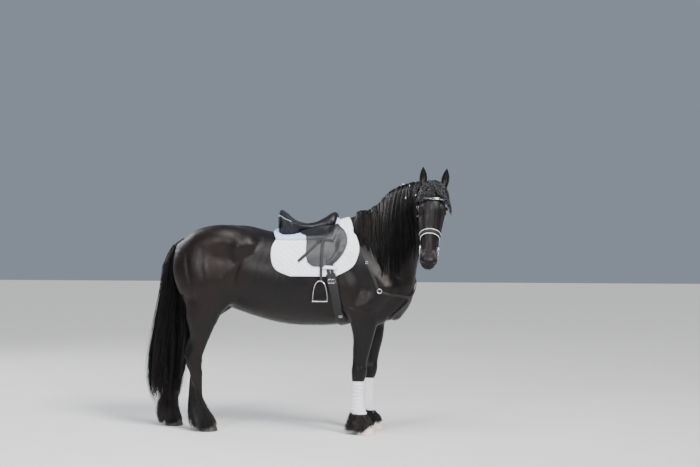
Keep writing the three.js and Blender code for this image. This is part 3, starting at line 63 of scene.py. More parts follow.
# ---- Sections of the body: x, y, z, half width, then the reach on either side of the line
TRUNK = [
    [-560, 0, 1330, 190, 270, 260], [-400, 0, 1300, 262, 308, 340], [-220, 0, 1235, 298, 333, 345],
    [0, 0, 1185, 318, 360, 352], [200, 0, 1170, 308, 385, 348], [380, 0, 1165, 268, 400, 335],
    [560, 0, 1160, 222, 380, 296], [710, 0, 1130, 182, 330, 250], [815, 0, 1095, 140, 260, 190],
]
WITHERS = [
    [120, 0, 1478, 90, 70, 80], [300, 0, 1530, 72, 80, 80], [430, 0, 1560, 62, 82, 90],
    [560, 0, 1590, 60, 85, 100],
]
NECK = [
    [690, 0, 1280, 178, 330, 255], [790, -3, 1440, 150, 335, 250], [868, -22, 1575, 124, 290, 200],
    [940, -60, 1690, 104, 225, 165], [1022, -104, 1780, 90, 155, 140], [1094, -152, 1826, 80, 102, 116],
    [1150, -200, 1840, 74, 86, 102],
]
BREAST = [[890, 0, 1140, 120, 72, 80], [886, 0, 1030, 104, 62, 80], [826, 0, 925, 86, 60, 70]]
CROUP = [
    [-320, 150, 1455, 105, 105, 110], [-500, 140, 1470, 140, 138, 130], [-680, 112, 1440, 125, 128, 130],
    [-815, 72, 1395, 82, 90, 90],
]
HIP_POINT = [[-290, 222, 1455, 55, 50, 60], [-350, 232, 1435, 58, 55, 70]]
SHOULDER = [
    [420, 85, 1500, 60, 70, 70], [540, 150, 1350, 74, 105, 105], [690, 165, 1200, 80, 100, 110],
    [775, 155, 1125, 74, 84, 84],
]
UPPER_ARM = [[775, 160, 1120, 70, 84, 80], [660, 175, 1020, 74, 100, 100], [560, 172, 930, 70, 110, 88]]
TRICEPS = [[430, 165, 1300, 50, 70, 70], [470, 200, 1130, 62, 105, 90], [510, 188, 985, 58, 80, 62]]
PECTORAL = [[842, 70, 1130, 72, 70, 80], [805, 95, 1000, 74, 75, 80], [700, 110, 905, 60, 70, 60]]
FOREARM = [
    [575, 168, 950, 74, 120, 82], [600, 162, 868, 71, 112, 102], [598, 156, 740, 60, 82, 78],
    [585, 150, 640, 50, 67, 68], [572, 145, 545, 46, 57, 58], [567, 143, 492, 53, 61, 60],
    [563, 142, 445, 51, 57, 56], [559, 141, 408, 38, 44, 46],
]
FORE_CANNON = [
    [559, 141, 420, 37, 43, 45], [557, 140, 385, 31, 38, 42], [556, 139, 300, 29, 36, 41],
    [555, 138, 225, 34, 41, 46], [557, 137, 182, 41, 48, 54], [585, 136, 132, 36, 41, 42],
    [605, 135, 92, 52, 56, 58], [610, 135, 60, 56, 60, 62],
]
THIGH = [
    [-560, 125, 1430, 110, 150, 190], [-600, 160, 1300, 128, 210, 278], [-592, 180, 1160, 122, 212, 263],
    [-585, 188, 1040, 96, 165, 213], [-612, 182, 930, 74, 95, 171],
    [-644, 176, 850, 56, 76, 116], [-664, 170, 760, 36, 44, 56],
]
HAMSTRING = [
    [-800, 95, 1400, 78, 80, 70], [-835, 112, 1290, 86, 90, 62], [-800, 128, 1150, 84, 100, 70],
    [-738, 150, 1010, 66, 86, 66], [-706, 162, 900, 48, 60, 60], [-690, 166, 800, 30, 36, 36],
]
GASKIN = [
    [-560, 186, 1010, 80, 80, 150], [-650, 180, 905, 72, 118, 135], [-676, 168, 790, 60, 94, 96],
    [-697, 158, 680, 48, 68, 66], [-722, 152, 600, 47, 62, 66], [-734, 149, 545, 52, 70, 68],
    [-722, 147, 480, 43, 53, 54], [-713, 146, 440, 33, 42, 44],
]
HOCK_POINT = [[-760, 156, 720, 14, 16, 16], [-786, 152, 640, 20, 24, 22], [-792, 149, 590, 26, 34, 26]]
HIND_CANNON = [
    [-714, 146, 455, 38, 48, 50], [-712, 145, 400, 34, 46, 50], [-711, 144, 310, 33, 45, 52],
    [-709, 142, 245, 37, 48, 56], [-703, 141, 205, 43, 54, 60], [-662, 139, 148, 36, 42, 42],
    [-636, 138, 100, 52, 57, 58], [-630, 138, 60, 56, 60, 62],
]
LEFT_FORE_SHIFT = [[0, 32], [300, 40], [540, 46], [740, 38], [900, 12], [980, 0]]
LEFT_HIND_SHIFT = [
    [0, -356], [105, -348], [205, -314], [310, -262], [480, -208], [560, -190], [680, -164], [790, -132],
    [905, -92], [1020, -50], [1160, 0],
]
HOOF_AT = {
    ("fore", RIGHT): (611, -135), ("fore", LEFT): (641, 135),
    ("hind", RIGHT): (-626, -138), ("hind", LEFT): (-978, 138),
}

# The head in its own frame: origin at the poll, +X out of the forehead, +Z up, muzzle down
POLL = np.array([1158.0, -350.0, 1876.0])
HEAD_SCALE = np.array([0.92, 1.0, 0.92])
HEAD_YAW, HEAD_LEAN, HEAD_NOD = (math.radians(a) for a in (-83, -4.5, -12))
SKULL = [
    [-62, 0, 8, 62, 46, 52], [-62, 0, -60, 82, 72, 80], [-66, 0, -150, 93, 84, 100],
    [-68, 0, -230, 87, 80, 100], [-68, 0, -330, 78, 70, 90], [-68, 0, -430, 63, 64, 74],
    [-68, 0, -520, 60, 58, 56], [-66, 0, -585, 63, 50, 44], [-66, 0, -622, 52, 34, 28],
]
EAR_BASE = [[-66, 54, -34, 22, 24, 24], [-60, 74, 12, 21, 22, 22]]
CHEEK = [[-140, 60, -62, 22, 46, 50], [-168, 64, -140, 27, 86, 90], [-162, 62, -235, 25, 66, 62]]
JAW = [
    [-205, 46, -165, 18, 50, 44], [-178, 38, -290, 17, 44, 34], [-146, 26, -400, 20, 40, 26],
    [-132, 14, -510, 22, 34, 24],
]
CHIN = [
    [-128, 0, -500, 36, 26, 28], [-122, 0, -560, 43, 32, 34], [-112, 0, -600, 40, 22, 26],
    [-102, 0, -628, 32, 16, 18],
]
BROW = [[-34, 74, -128, 20, 24, 24], [-26, 86, -158, 21, 26, 30], [-44, 92, -196, 18, 22, 24]]
FACE_CREST = [[-84, 89, -205, 12, 16, 16], [-78, 79, -290, 10, 14, 14], [-72, 67, -370, 10, 12, 12]]
NOSTRIL_WALL = [[-34, 38, -520, 16, 16, 22], [-34, 50, -570, 22, 24, 32], [-46, 46, -606, 18, 20, 26]]
UPPER_LIP = [[-40, 0, -596, 50, 26, 30], [-54, 0, -634, 40, 22, 24]]
TEMPLE_HOLLOW = [[-44, 78, -88, 12, 14, 14], [-40, 76, -112, 14, 14, 14]]
HEAD_AXIS_X = -84
EYE_RADIUS, EYE_SUNK, EYE_HEIGHT, EYE_TURN = 20, 9, -160, math.radians(66)


# ---- Numbers and curves
def curve_at(pairs, x):
    pairs = np.asarray(pairs, float)
    return np.interp(x, pairs[:, 0], pairs[:, 1])


def unit(v):
    v = np.asarray(v, float)
    return v / np.maximum(np.linalg.norm(v, axis=-1, keepdims=True), 1e-9)


def smooth_rows(rows, steps):
    """Rows of numbers resampled along a Catmull-Rom curve."""
    rows = np.asarray(rows, float)
    n = len(rows)
    at = lambda i: rows[min(max(i, 0), n - 1)]
    made = []
    for i in range(n - 1):
        a, b, d, e = at(i - 1), at(i), at(i + 1), at(i + 2)
        for s in range(steps):
            t = s / steps
            bend = (2 * a - 5 * b + 4 * d - e) * t * t + (3 * b - a - 3 * d + e) * t**3
            made.append(b + 0.5 * ((d - a) * t + bend))
    made.append(rows[-1])
    return np.array(made)


def to_other_side(rows):
    """Points from one side to the middle, carried on to the other side."""
    return [list(row) for row in rows] + [[x, -y, z] for x, y, z in rows[-2::-1]]


def circle(centre, one, other, radius, count):
    turn = np.linspace(0, 2 * np.pi, count, endpoint=False)[:, None]
    return centre + (one * np.cos(turn) + other * np.sin(turn)) * radius


def mirrored(rows, side):
    rows = np.array(rows, float)
    rows[:, 1] *= side
    return rows


def shifted(rows, shifts):
    rows = np.array(rows, float)
    rows[:, 0] += curve_at(shifts, rows[:, 2])
    return rows


# ---- Flesh as a smooth union of tubes with oval sections
class Tube:
    """Oval sections along a curve; a point is measured against the section that it lies beside."""

    def __init__(self, rows, blend=40, side=None, carve=False, steps=7):
        line = smooth_rows(rows, steps)
        self.blend, self.carve = blend, carve
        self.points, self.reach = line[:, :3], line[:, 3:]
        self.span = np.diff(self.points, axis=0)
        self.length = (self.span**2).sum(1)
        self.along = unit(np.gradient(self.points, axis=0))
        across = np.tile(side, (len(line), 1)) if side is not None else np.cross([0, 0, 1.0], self.along)
        self.across = unit(across - (across * self.along).sum(1, keepdims=True) * self.along)
        self.rise = np.cross(self.along, self.across)
        most = self.reach.max(1)[:, None]
        self.low, self.high = (self.points - most).min(0), (self.points + most).max(0)
        self.square = (self.points**2).sum(1)

    def distance(self, points):
        k = np.argmin(self.square - 2 * points @ self.points.T, axis=1)
        past = ((points - self.points[k]) * self.along[k]).sum(1) > 0
        i = np.clip(np.where(past, k, k - 1), 0, len(self.span) - 1)
        d = points - self.points[i]
        h = np.clip((d * self.span[i]).sum(1) / self.length[i], 0, 1)[:, None]
        d = d - h * self.span[i]
        mix = lambda v: v[i] + (v[i + 1] - v[i]) * h
        l, n, beyond = ((d * mix(v)).sum(1) for v in (self.across, self.rise, self.along))
        w, above, below = mix(self.reach).T
        r = np.where(n >= 0, above, below)
        e = np.minimum(w, r)
        q = np.sqrt((l / w) ** 2 + (n / r) ** 2 + (beyond / e) ** 2)
        slope = np.sqrt((l / w / w) ** 2 + (n / r / r) ** 2 + (beyond / e / e) ** 2)
        return np.where(slope > 1e-9, (q - 1) * q / np.maximum(slope, 1e-9), -e)


def soft_min(a, b, k):
    h = np.maximum(k - np.abs(a - b), 0) / k
    return np.minimum(a, b) - h * h * k / 4


FAR = 1e5
REACH = 70.0  # no tube further from a point than this, and its blend, is measured


def flesh_of(tubes):
    def field(points):
        d = np.full(len(points), FAR)
        for t in tubes:
            gap = np.linalg.norm(np.maximum(0, np.maximum(t.low - points, points - t.high)), axis=1)
            near = np.flatnonzero(gap <= (t.blend if t.carve else np.minimum(d, REACH) + t.blend))
            if not len(near):
                continue
            e = t.distance(points[near])
            d[near] = -soft_min(-d[near], e, t.blend) if t.carve else soft_min(d[near], e, t.blend)
        return d
    return field


ACROSS = np.array([0, 1.0, 0])


def forward(rows, blend):
    return Tube(rows, blend)


def downward(rows, blend, carve=False):
    return Tube(rows, blend, ACROSS, carve)


def hind_placed(rows, side):
    rows = mirrored(rows, side)
    return shifted(rows, LEFT_HIND_SHIFT) if side == LEFT else rows


def fore_placed(rows, side):
    rows = mirrored(rows, side)
    return shifted(rows, LEFT_FORE_SHIFT) if side == LEFT else rows


def haunch(rows, side):
    return np.concatenate([mirrored(rows[:3], side), hind_placed(rows[3:], side)])


def top_tubes(side):
    return [
        downward(mirrored(SHOULDER, side), 55), downward(mirrored(UPPER_ARM, side), 50),
        downward(mirrored(TRICEPS, side), 50), downward(mirrored(PECTORAL, side), 45),
        downward(fore_placed(FOREARM, side), 45),
        forward(mirrored(CROUP, side)[::-1], 60), forward(mirrored(HIP_POINT, side)[::-1], 70),
        downward(haunch(THIGH, side), 70), downward(haunch(HAMSTRING, side), 50),
        downward(hind_placed(GASKIN, side), 40), downward(hind_placed(HOCK_POINT, side), 22),
    ]


def cannon_tubes(side):
    return [downward(fore_placed(FORE_CANNON, side), 16), downward(hind_placed(HIND_CANNON, side), 16)]


trunk_tubes = [forward(TRUNK, 1), forward(WITHERS, 70), downward(BREAST, 60), Tube(NECK, 90, steps=9)]
trunk_tubes += top_tubes(RIGHT) + top_tubes(LEFT)
trunk_flesh = flesh_of(trunk_tubes)
body_flesh = flesh_of(trunk_tubes + cannon_tubes(RIGHT) + cannon_tubes(LEFT))


def turned(axis, angle):
    c, s = math.cos(angle), math.sin(angle)
    return {
        "x": np.array([[1, 0, 0], [0, c, -s], [0, s, c]]),
        "y": np.array([[c, 0, s], [0, 1, 0], [-s, 0, c]]),
        "z": np.array([[c, -s, 0], [s, c, 0], [0, 0, 1]]),
    }[axis]


HEAD_TURN = turned("z", HEAD_YAW) @ turned("x", HEAD_LEAN) @ turned("y", HEAD_NOD)
HEAD_MATRIX = HEAD_TURN * HEAD_SCALE
HEAD_INVERSE = np.linalg.inv(HEAD_MATRIX)


def on_head(points):
    return np.asarray(points, float) @ HEAD_MATRIX.T + POLL


def in_head(points):
    return (np.asarray(points, float) - POLL) @ HEAD_INVERSE.T


def head_way(v):
    return unit(np.asarray(v, float) @ HEAD_TURN.T)


def both(rows, blend, carve=False):
    return [downward(mirrored(rows, side), blend, carve) for side in (RIGHT, LEFT)]


skull_tubes = [downward(SKULL, 1)]
skull_tubes += both(EAR_BASE, 30) + both(CHEEK, 22) + both(JAW, 26) + both(BROW, 20)
skull_tubes += both(FACE_CREST, 16) + both(NOSTRIL_WALL, 14)
skull_tubes += [downward(CHIN, 18), downward(UPPER_LIP, 16)] + both(TEMPLE_HOLLOW, 22, True)
skull_flesh = flesh_of(skull_tubes)


HEAD_BLEND = 46


def head_flesh(points):
    return HEAD_SCALE[0] * skull_flesh(in_head(points))


def neck_flesh(points):
    return soft_min(trunk_flesh(points), head_flesh(points), HEAD_BLEND)


def slope_of(field, points, step=2.0):
    made = np.empty_like(points)
    for axis in range(3):
        offset = np.zeros(3)
        offset[axis] = step
        made[:, axis] = (field(points + offset) - field(points - offset)) / (2 * step)
    return made


def settled(field, points, lift=0.0, rounds=4):
    shape = np.shape(points)
    q = np.array(points, float).reshape(-1, 3)
    lift = np.broadcast_to(lift, shape[:-1]).reshape(-1)
    for _ in range(rounds):
        slope = slope_of(field, q)
        size = np.maximum(np.linalg.norm(slope, axis=1), 0.3)
        q += slope * ((lift - field(q)) / size**2)[:, None]
    return q.reshape(shape)


def outward(field, points):
    shape = np.shape(points)
    return unit(slope_of(field, np.array(points, float).reshape(-1, 3))).reshape(shape)


def ray_end(field, start, way, limit=1100, step=14.0):
    """Where rays from inside the flesh leave it."""
    start, way = np.atleast_2d(start).astype(float), unit(np.atleast_2d(way))
    start = np.broadcast_to(start, way.shape)
    inside, outside = np.zeros(len(way)), np.full(len(way), float(limit))
    going = np.ones(len(way), bool)
    t = 0.0
    while t < limit and going.any():
        t += step
        i = np.flatnonzero(going)
        out = field(start[i] + way[i] * t) >= 0
        outside[i[out]], inside[i[~out]] = t, t
        going[i[out]] = False
    for _ in range(12):
        middle = (inside + outside) / 2
        deep = field(start + way * middle[:, None]) < 0
        inside, outside = np.where(deep, middle, inside), np.where(deep, outside, middle)
    return start + way * inside[:, None]


def eye_frame(side):
    inside = on_head([HEAD_AXIS_X, 0, EYE_HEIGHT])
    beyond = on_head([HEAD_AXIS_X + math.cos(EYE_TURN), side * math.sin(EYE_TURN), EYE_HEIGHT])
    out = unit(beyond - inside)
    centre = settled(head_flesh, ray_end(head_flesh, inside, out)[0], -EYE_SUNK)
    up = head_way([0, 0, 1])
    return centre, out, up, -side * np.cross(out, up)


EYES = {side: eye_frame(side) for side in (RIGHT, LEFT)}
NOSTRIL = [
    [-14, 26, -606, 5, 7, 7], [-17, 46, -600, 11, 16, 16], [-32, 64, -578, 10, 15, 15],
    [-52, 70, -556, 4, 6, 6],
]
MOUTH = [[-110, 66, -500], [-96, 64, -545], [-86, 52, -596], [-79, 28, -628], [-76, 0, -640]]


def lid_tube(side, above):
    """The upper lid where above is 1, or the lower one: from corner to corner, thickest in the middle."""
    centre, out, up, along = EYES[side]
    rows = []
    for swing in np.radians(np.linspace(-88, 88, 9)):
        thick = 2.2 + 3.6 * math.cos(swing)
        at = centre + along * EYE_RADIUS * 1.22 * math.sin(swing)
        at = at + out * (3 + EYE_RADIUS * 0.66 * math.cos(swing))
        at = at + up * above * EYE_RADIUS * (0.74 if above > 0 else 0.66) * math.cos(swing)
        rows.append([*at, thick, thick, thick])
    return Tube(rows, 5, steps=2)


lid_flesh = flesh_of([lid_tube(side, above) for side in (RIGHT, LEFT) for above in (1, -1)])
nostril_flesh = flesh_of(both(NOSTRIL, 1))
mouth_flesh = flesh_of([downward([[*point, 3.2, 3.2, 2.6] for point in to_other_side(MOUTH)], 1)])


def face(points):
    """The neck and head with lids, eye sockets, nostrils and the line of the mouth."""
    d = neck_flesh(points)
    near = np.flatnonzero(np.linalg.norm(points - POLL, axis=1) < 720)
    q, e = points[near], d[near]
    e = soft_min(e, lid_flesh(q), 7)
    for centre, *_ in EYES.values():
        e = -soft_min(-e, np.linalg.norm(q - centre, axis=1) - EYE_RADIUS - 0.4, 2)
    r = in_head(q)
    e = -soft_min(-e, nostril_flesh(r), 9)
    e = -soft_min(-e, mouth_flesh(r), 6)
    d[near] = e
    return d


# ---- The skin: the surface of the flesh, found on a grid and then moved onto it
COAT_DEPTH = 2.5
CELL_CORNERS = list(itertools.product((0, 1), repeat=3))
AT_ONCE = 200000  # points measured in one call
LONGEST_MOVE = 9.0


def filled(field, low, high, step, ratio=4):
    """The field on a grid: in full where the surface may be, and by its sign elsewhere."""
    low = np.asarray(low, float)
    cells = np.ceil((np.asarray(high) - low) / (step * ratio)).astype(int)
    axes = [low[a] + step * ratio * np.arange(cells[a] + 1) for a in range(3)]
    coarse = np.stack(np.meshgrid(*axes, indexing="ij"), -1)
    rough = field(coarse.reshape(-1, 3)).reshape(coarse.shape[:3])
    corners = [rough[i:i + cells[0], j:j + cells[1], k:k + cells[2]] for i, j, k in CELL_CORNERS]
    near = np.min(np.abs(corners), axis=0) < step * ratio * 1.35
    near |= (np.min(corners, axis=0) < 0) & (np.max(corners, axis=0) > 0)
    wide = near.repeat(ratio, 0).repeat(ratio, 1).repeat(ratio, 2)
    shape = tuple(cells * ratio + 1)
    wanted = np.zeros(shape, bool)
    for i, j, k in CELL_CORNERS:
        wanted[i:shape[0] - 1 + i, j:shape[1] - 1 + j, k:shape[2] - 1 + k] |= wide
    nearest = [np.minimum((np.arange(n) + ratio // 2) // ratio, cells[a]) for a, n in enumerate(shape)]
    values = rough[np.ix_(*nearest)].astype(np.float32)
    places = np.argwhere(wanted)
    found = np.empty(len(places), np.float32)
    for first in range(0, len(places), AT_ONCE):
        part = slice(first, first + AT_ONCE)
        found[part] = field(low + step * places[part])
    values[wanted] = found
    return low, values


def snapped(field, points, iso, rounds=2):
    """Points moved to where the field equals iso, and the ways out of the flesh there."""
    slope = slope_of(field, points, 1.5)
    size = np.maximum(np.linalg.norm(slope, axis=1), 0.3)
    for _ in range(rounds):
        move = (iso - field(points)) / size**2
        points = points + slope * np.clip(move, -LONGEST_MOVE, LONGEST_MOVE)[:, None]
    return points, slope / size[:, None]


def surface_of(field, low, high, step, iso):
    """The surface where the field equals iso, as quads: one vertex to each grid cell that it crosses."""
    low, values = filled(field, low, high, step)
    inside = values < iso
    n = np.array(inside.shape) - 1
    count = sum(inside[i:i + n[0], j:j + n[1], k:k + n[2]].astype(np.int8) for i, j, k in CELL_CORNERS)
    crossed = (count > 0) & (count < 8)
    index = np.full(crossed.shape, -1, np.int32)
    cells = np.argwhere(crossed)
    index[crossed] = np.arange(len(cells))
    total, hits = np.zeros((len(cells), 3)), np.zeros(len(cells))
    for axis in range(3):
        step_on = np.eye(3, dtype=int)[axis]
        for a in (0, 1):
            for b in (0, 1):
                start = np.insert(np.array([a, b]), axis, 0)
                p, q = cells + start, cells + start + step_on
                u, v = values[tuple(p.T)], values[tuple(q.T)]
                cut = (u < iso) != (v < iso)
                share = np.where(cut, (iso - u) / np.where(cut, v - u, 1), 0)
                total += np.where(cut[:, None], p + share[:, None] * step_on, 0)
                hits += cut
    verts = low + step * total / hits[:, None]
    quads = []
    for axis in range(3):
        step_on = np.eye(3, dtype=int)[axis]
        ahead = tuple(slice(1, None) if i == axis else slice(None) for i in range(3))
        back = tuple(slice(None, -1) if i == axis else slice(None) for i in range(3))
        for way in (0, 1):
            cut = (inside[back] & ~inside[ahead]) if way else (~inside[back] & inside[ahead])
            p = np.argwhere(cut)
            b, c = [np.eye(3, dtype=int)[i] for i in range(3) if i != axis]
            p = p[((p >= 1) | (np.arange(3) == axis)).all(1) & ((p < n) | (np.arange(3) == axis)).all(1)]
            ring = [p - b - c, p - c, p, p - b] if (way == (axis != 1)) else [p - b - c, p - b, p, p - c]
            quads.append(np.stack([index[tuple(r.T)] for r in ring], 1))
    quads = np.concatenate(quads)
    return verts, quads[(quads >= 0).all(1)]


# Grooves and ridges of the muscles, drawn on the side view: height, width, then x and z along the line
RELIEF = [
    (-5, 24, [(600, 1490), (690, 1340), (770, 1210), (812, 1110)]),
    (4.5, 20, [(500, 1500), (590, 1360), (680, 1230), (730, 1160)]),
    (-5, 20, [(416, 1270), (440, 1130), (480, 1020), (540, 965)]),
    (-5, 15, [(470, 1010), (560, 960), (640, 965), (700, 990)]),
    (6, 30, [(772, 1160), (790, 1105)]),
    (-4, 14, [(742, 1010), (700, 950), (668, 900)]),
    (-7, 17, [(-300, 1390), (-372, 1250), (-400, 1120), (-420, 1030)]),
    (5, 26, [(-455, 1240), (-500, 1120), (-520, 1030)]),
    (-7, 19, [(-770, 1400), (-752, 1270), (-722, 1130), (-690, 1010)]),
    (-4, 22, [(-640, 1420), (-640, 1280), (-610, 1150)]),
    (7, 30, [(-292, 1458), (-372, 1432)]),
    (-4.5, 11, [(-600, 985), (-640, 890), (-680, 780), (-700, 700)]),
    (-6, 9, [(-722, 800), (-738, 720), (-742, 650)]),
    (4, 13, [(-575, 900), (-622, 800), (-660, 710)]),
    (-3.5, 10, [(615, 910), (606, 800), (598, 700), (584, 610)]),
    (3.5, 15, [(652, 900), (640, 790)]),
    (3, 12, [(596, 530), (590, 480)]),
    (-6, 19, [(1112, 1700), (1010, 1560), (925, 1410), (865, 1270), (822, 1170)]),
    (-4.5, 24, [(1060, 1770), (930, 1610), (820, 1450), (735, 1330)]),
    (3, 22, [(1080, 1730), (965, 1580), (868, 1430), (790, 1300)]),
] + [(-1.6, 13, [(x + 60, 1400), (x, 1230), (x - 30, 1050)]) for x in range(-230, 60, 58)]
# The same on the side of the face, in the head's own frame
FACE_RELIEF = [
    (1.8, 4, [(-150, -452), (-122, -400), (-108, -330), (-116, -262)]),
    (1.4, 3.5, [(-122, -400), (-92, -420), (-70, -470)]),
    (1.4, 3.5, [(-108, -330), (-80, -352), (-56, -400)]),
    (2.6, 8, [(-96, -215), (-88, -290), (-84, -352)]),
    (-2.5, 9, [(-112, -200), (-108, -290), (-100, -370)]),
    (-1.6, 4, [(-22, -118), (-16, -150), (-22, -182)]),
    (-1.5, 5, [(-100, -525), (-108, -560), (-106, -596)]),
    (1.6, 5, [(-66, -545), (-58, -590), (-62, -622)]),
]


def drawn(lines, x, z, sideways):
    """How far the lines raise points at x and z of the side view, whose normals face that side."""
    total = np.zeros(len(x))
    p = np.stack([x, z], 1)
    for height, width, line in lines:
        line = np.array(line, float)
        best = np.full(len(x), 1e9)
        along = np.zeros(len(x))
        for i, (a, b) in enumerate(zip(line[:-1], line[1:])):
            t = np.clip((p - a) @ (b - a) / ((b - a) @ (b - a)), 0, 1)
            far = np.linalg.norm(p - a - t[:, None] * (b - a), axis=1)
            along = np.where(far < best, (i + t) / (len(line) - 1), along)
            best = np.minimum(best, far)
        total += height * np.exp(-((best / width) ** 2)) * np.sin(np.pi * np.clip(0.12 + 0.76 * along, 0, 1))
    return total * np.clip(sideways, 0, 1) ** 0.7


def raised(points, normals):
    """The muscles' relief on the body."""
    x = points[:, 0].copy()
    left = points[:, 1] > 20
    x[left] -= curve_at(LEFT_FORE_SHIFT, points[left, 2]) * (points[left, 0] > 0)
    x[left] -= curve_at(LEFT_HIND_SHIFT, points[left, 2]) * (points[left, 0] < -300)
    side = np.where(points[:, 1] > (-20 - np.maximum(points[:, 0] - 900, 0) * 0.5), LEFT, RIGHT)
    return points + normals * drawn(RELIEF, x, points[:, 2], normals[:, 1] * side)[:, None]


NOSE_BONE = {"height": 3.4, "from_middle": 15, "width": 5.5}


def face_raised(points, normals):
    """The face's relief, with the two nose bones down its front."""
    r, n = in_head(points), normals @ HEAD_TURN
    bones = np.exp(-(((np.abs(r[:, 1]) - NOSE_BONE["from_middle"]) / NOSE_BONE["width"]) ** 2))
    bones = bones * np.clip((-120 - r[:, 2]) / 60, 0, 1)
    bones = NOSE_BONE["height"] * bones * np.clip((r[:, 2] + 470) / 90, 0, 1) * np.clip(n[:, 0], 0, 1)
    points = points + normals * bones[:, None]
    return points + normals * drawn(FACE_RELIEF, r[:, 0], r[:, 2], n[:, 1] * np.sign(r[:, 1]))[:, None]


# ---- Unwrap: each region of the skin from its six sides, side by side on one square
REGIONS = {
    "body": ([-1100, -430, 760], [1320, 430, 2010]), "head": ([-330, -150, -700], [70, 150, 240]),
    "fore_right": ([430, -280, 0], [780, -40, 880]), "fore_left": ([430, 40, 0], [800, 280, 880]),
    "hind_right": ([-900, -290, 0], [-430, -50, 910]), "hind_left": ([-1140, 50, 0], [-480, 290, 910]),
}
ISLANDS = {}
ATLAS, GAP = 6400.0, 12  # the square's width, and the space between islands
shelf_x = shelf_y = shelf_height = 0.0
for region_name, (low, high) in REGIONS.items():
    size = np.subtract(high, low)
    for facing in range(6):
        wide, tall = size[[i for i in range(3) if i != facing // 2]]
        if shelf_x + wide > ATLAS:
            shelf_x, shelf_y, shelf_height = 0.0, shelf_y + shelf_height + GAP, 0.0
        ISLANDS[region_name, facing] = (shelf_x, shelf_y)
        shelf_x, shelf_height = shelf_x + wide + GAP, max(shelf_height, tall)
SPAN = max(ATLAS, shelf_y + shelf_height) + 20


def bake_uv(points, normals, region):
    if region == "head":
        points, normals = in_head(points), normals @ HEAD_TURN
    axis = np.argmax(np.abs(normals), axis=1)
    facing = 2 * axis + (np.take_along_axis(normals, axis[:, None], 1)[:, 0] > 0)
    corner = np.array([ISLANDS[region, f] for f in range(6)])[facing]
    low, high = REGIONS[region]
    off = np.clip(points, low, high) - low
    kept = np.array([[1, 2], [1, 2], [0, 2], [0, 2], [0, 1], [0, 1]])[facing]
    return (corner + np.take_along_axis(off, kept, 1) + 10) / SPAN


def region_of(points):
    x, y, z = points.T
    low = z < 800
    names = np.full(len(points), "body", dtype="U12")
    names[low & (x > 0) & (y < 0)], names[low & (x > 0) & (y > 0)] = "fore_right", "fore_left"
    names[low & (x < 0) & (y < 0)], names[low & (x < 0) & (y > 0)] = "hind_right", "hind_left"
    return names


def bake_uvs(points, normals, regions):
    made = np.zeros((len(points), 2))
    for name in np.unique(regions):
        mask = regions == name
        made[mask] = bake_uv(points[mask], normals[mask], name)
    return made


# ---- Meshes
def add_mesh(name, verts, faces, finish, uvs=None, smooth=True):
    """An object from vertices in nominal millimetres and arrays of faces, with a material; the slot's name
    that comes with it is not used.
    """
    material, slot = finish
    mesh = bpy.data.meshes.new(name)
    co = place(verts)
    loops = np.concatenate([np.asarray(f).ravel() for f in faces]).astype(np.int32)
    sizes = np.concatenate([np.full(len(f), np.shape(f)[1]) for f in faces])
    mesh.vertices.add(len(co))
    mesh.vertices.foreach_set("co", co.astype(np.float32).ravel())
    mesh.loops.add(len(loops))
    mesh.loops.foreach_set("vertex_index", loops)
    mesh.polygons.add(len(sizes))
    mesh.polygons.foreach_set("loop_start", np.concatenate([[0], np.cumsum(sizes)[:-1]]).astype(np.int32))
    for uv_name, uv in (uvs or {}).items():
        layer = mesh.uv_layers.new(name=uv_name)
        uv = np.asarray(uv)
        layer.data.foreach_set("uv", (uv if len(uv) == len(loops) else uv[loops]).astype(np.float32).ravel())
    mesh.update(calc_edges=True)
    mesh.validate()
    mesh.polygons.foreach_set("use_smooth", np.full(len(mesh.polygons), smooth))
    mesh.materials.append(material)
    made = bpy.data.objects.new(name, mesh)
    bpy.context.collection.objects.link(made)
    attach(made, "root")
    return made


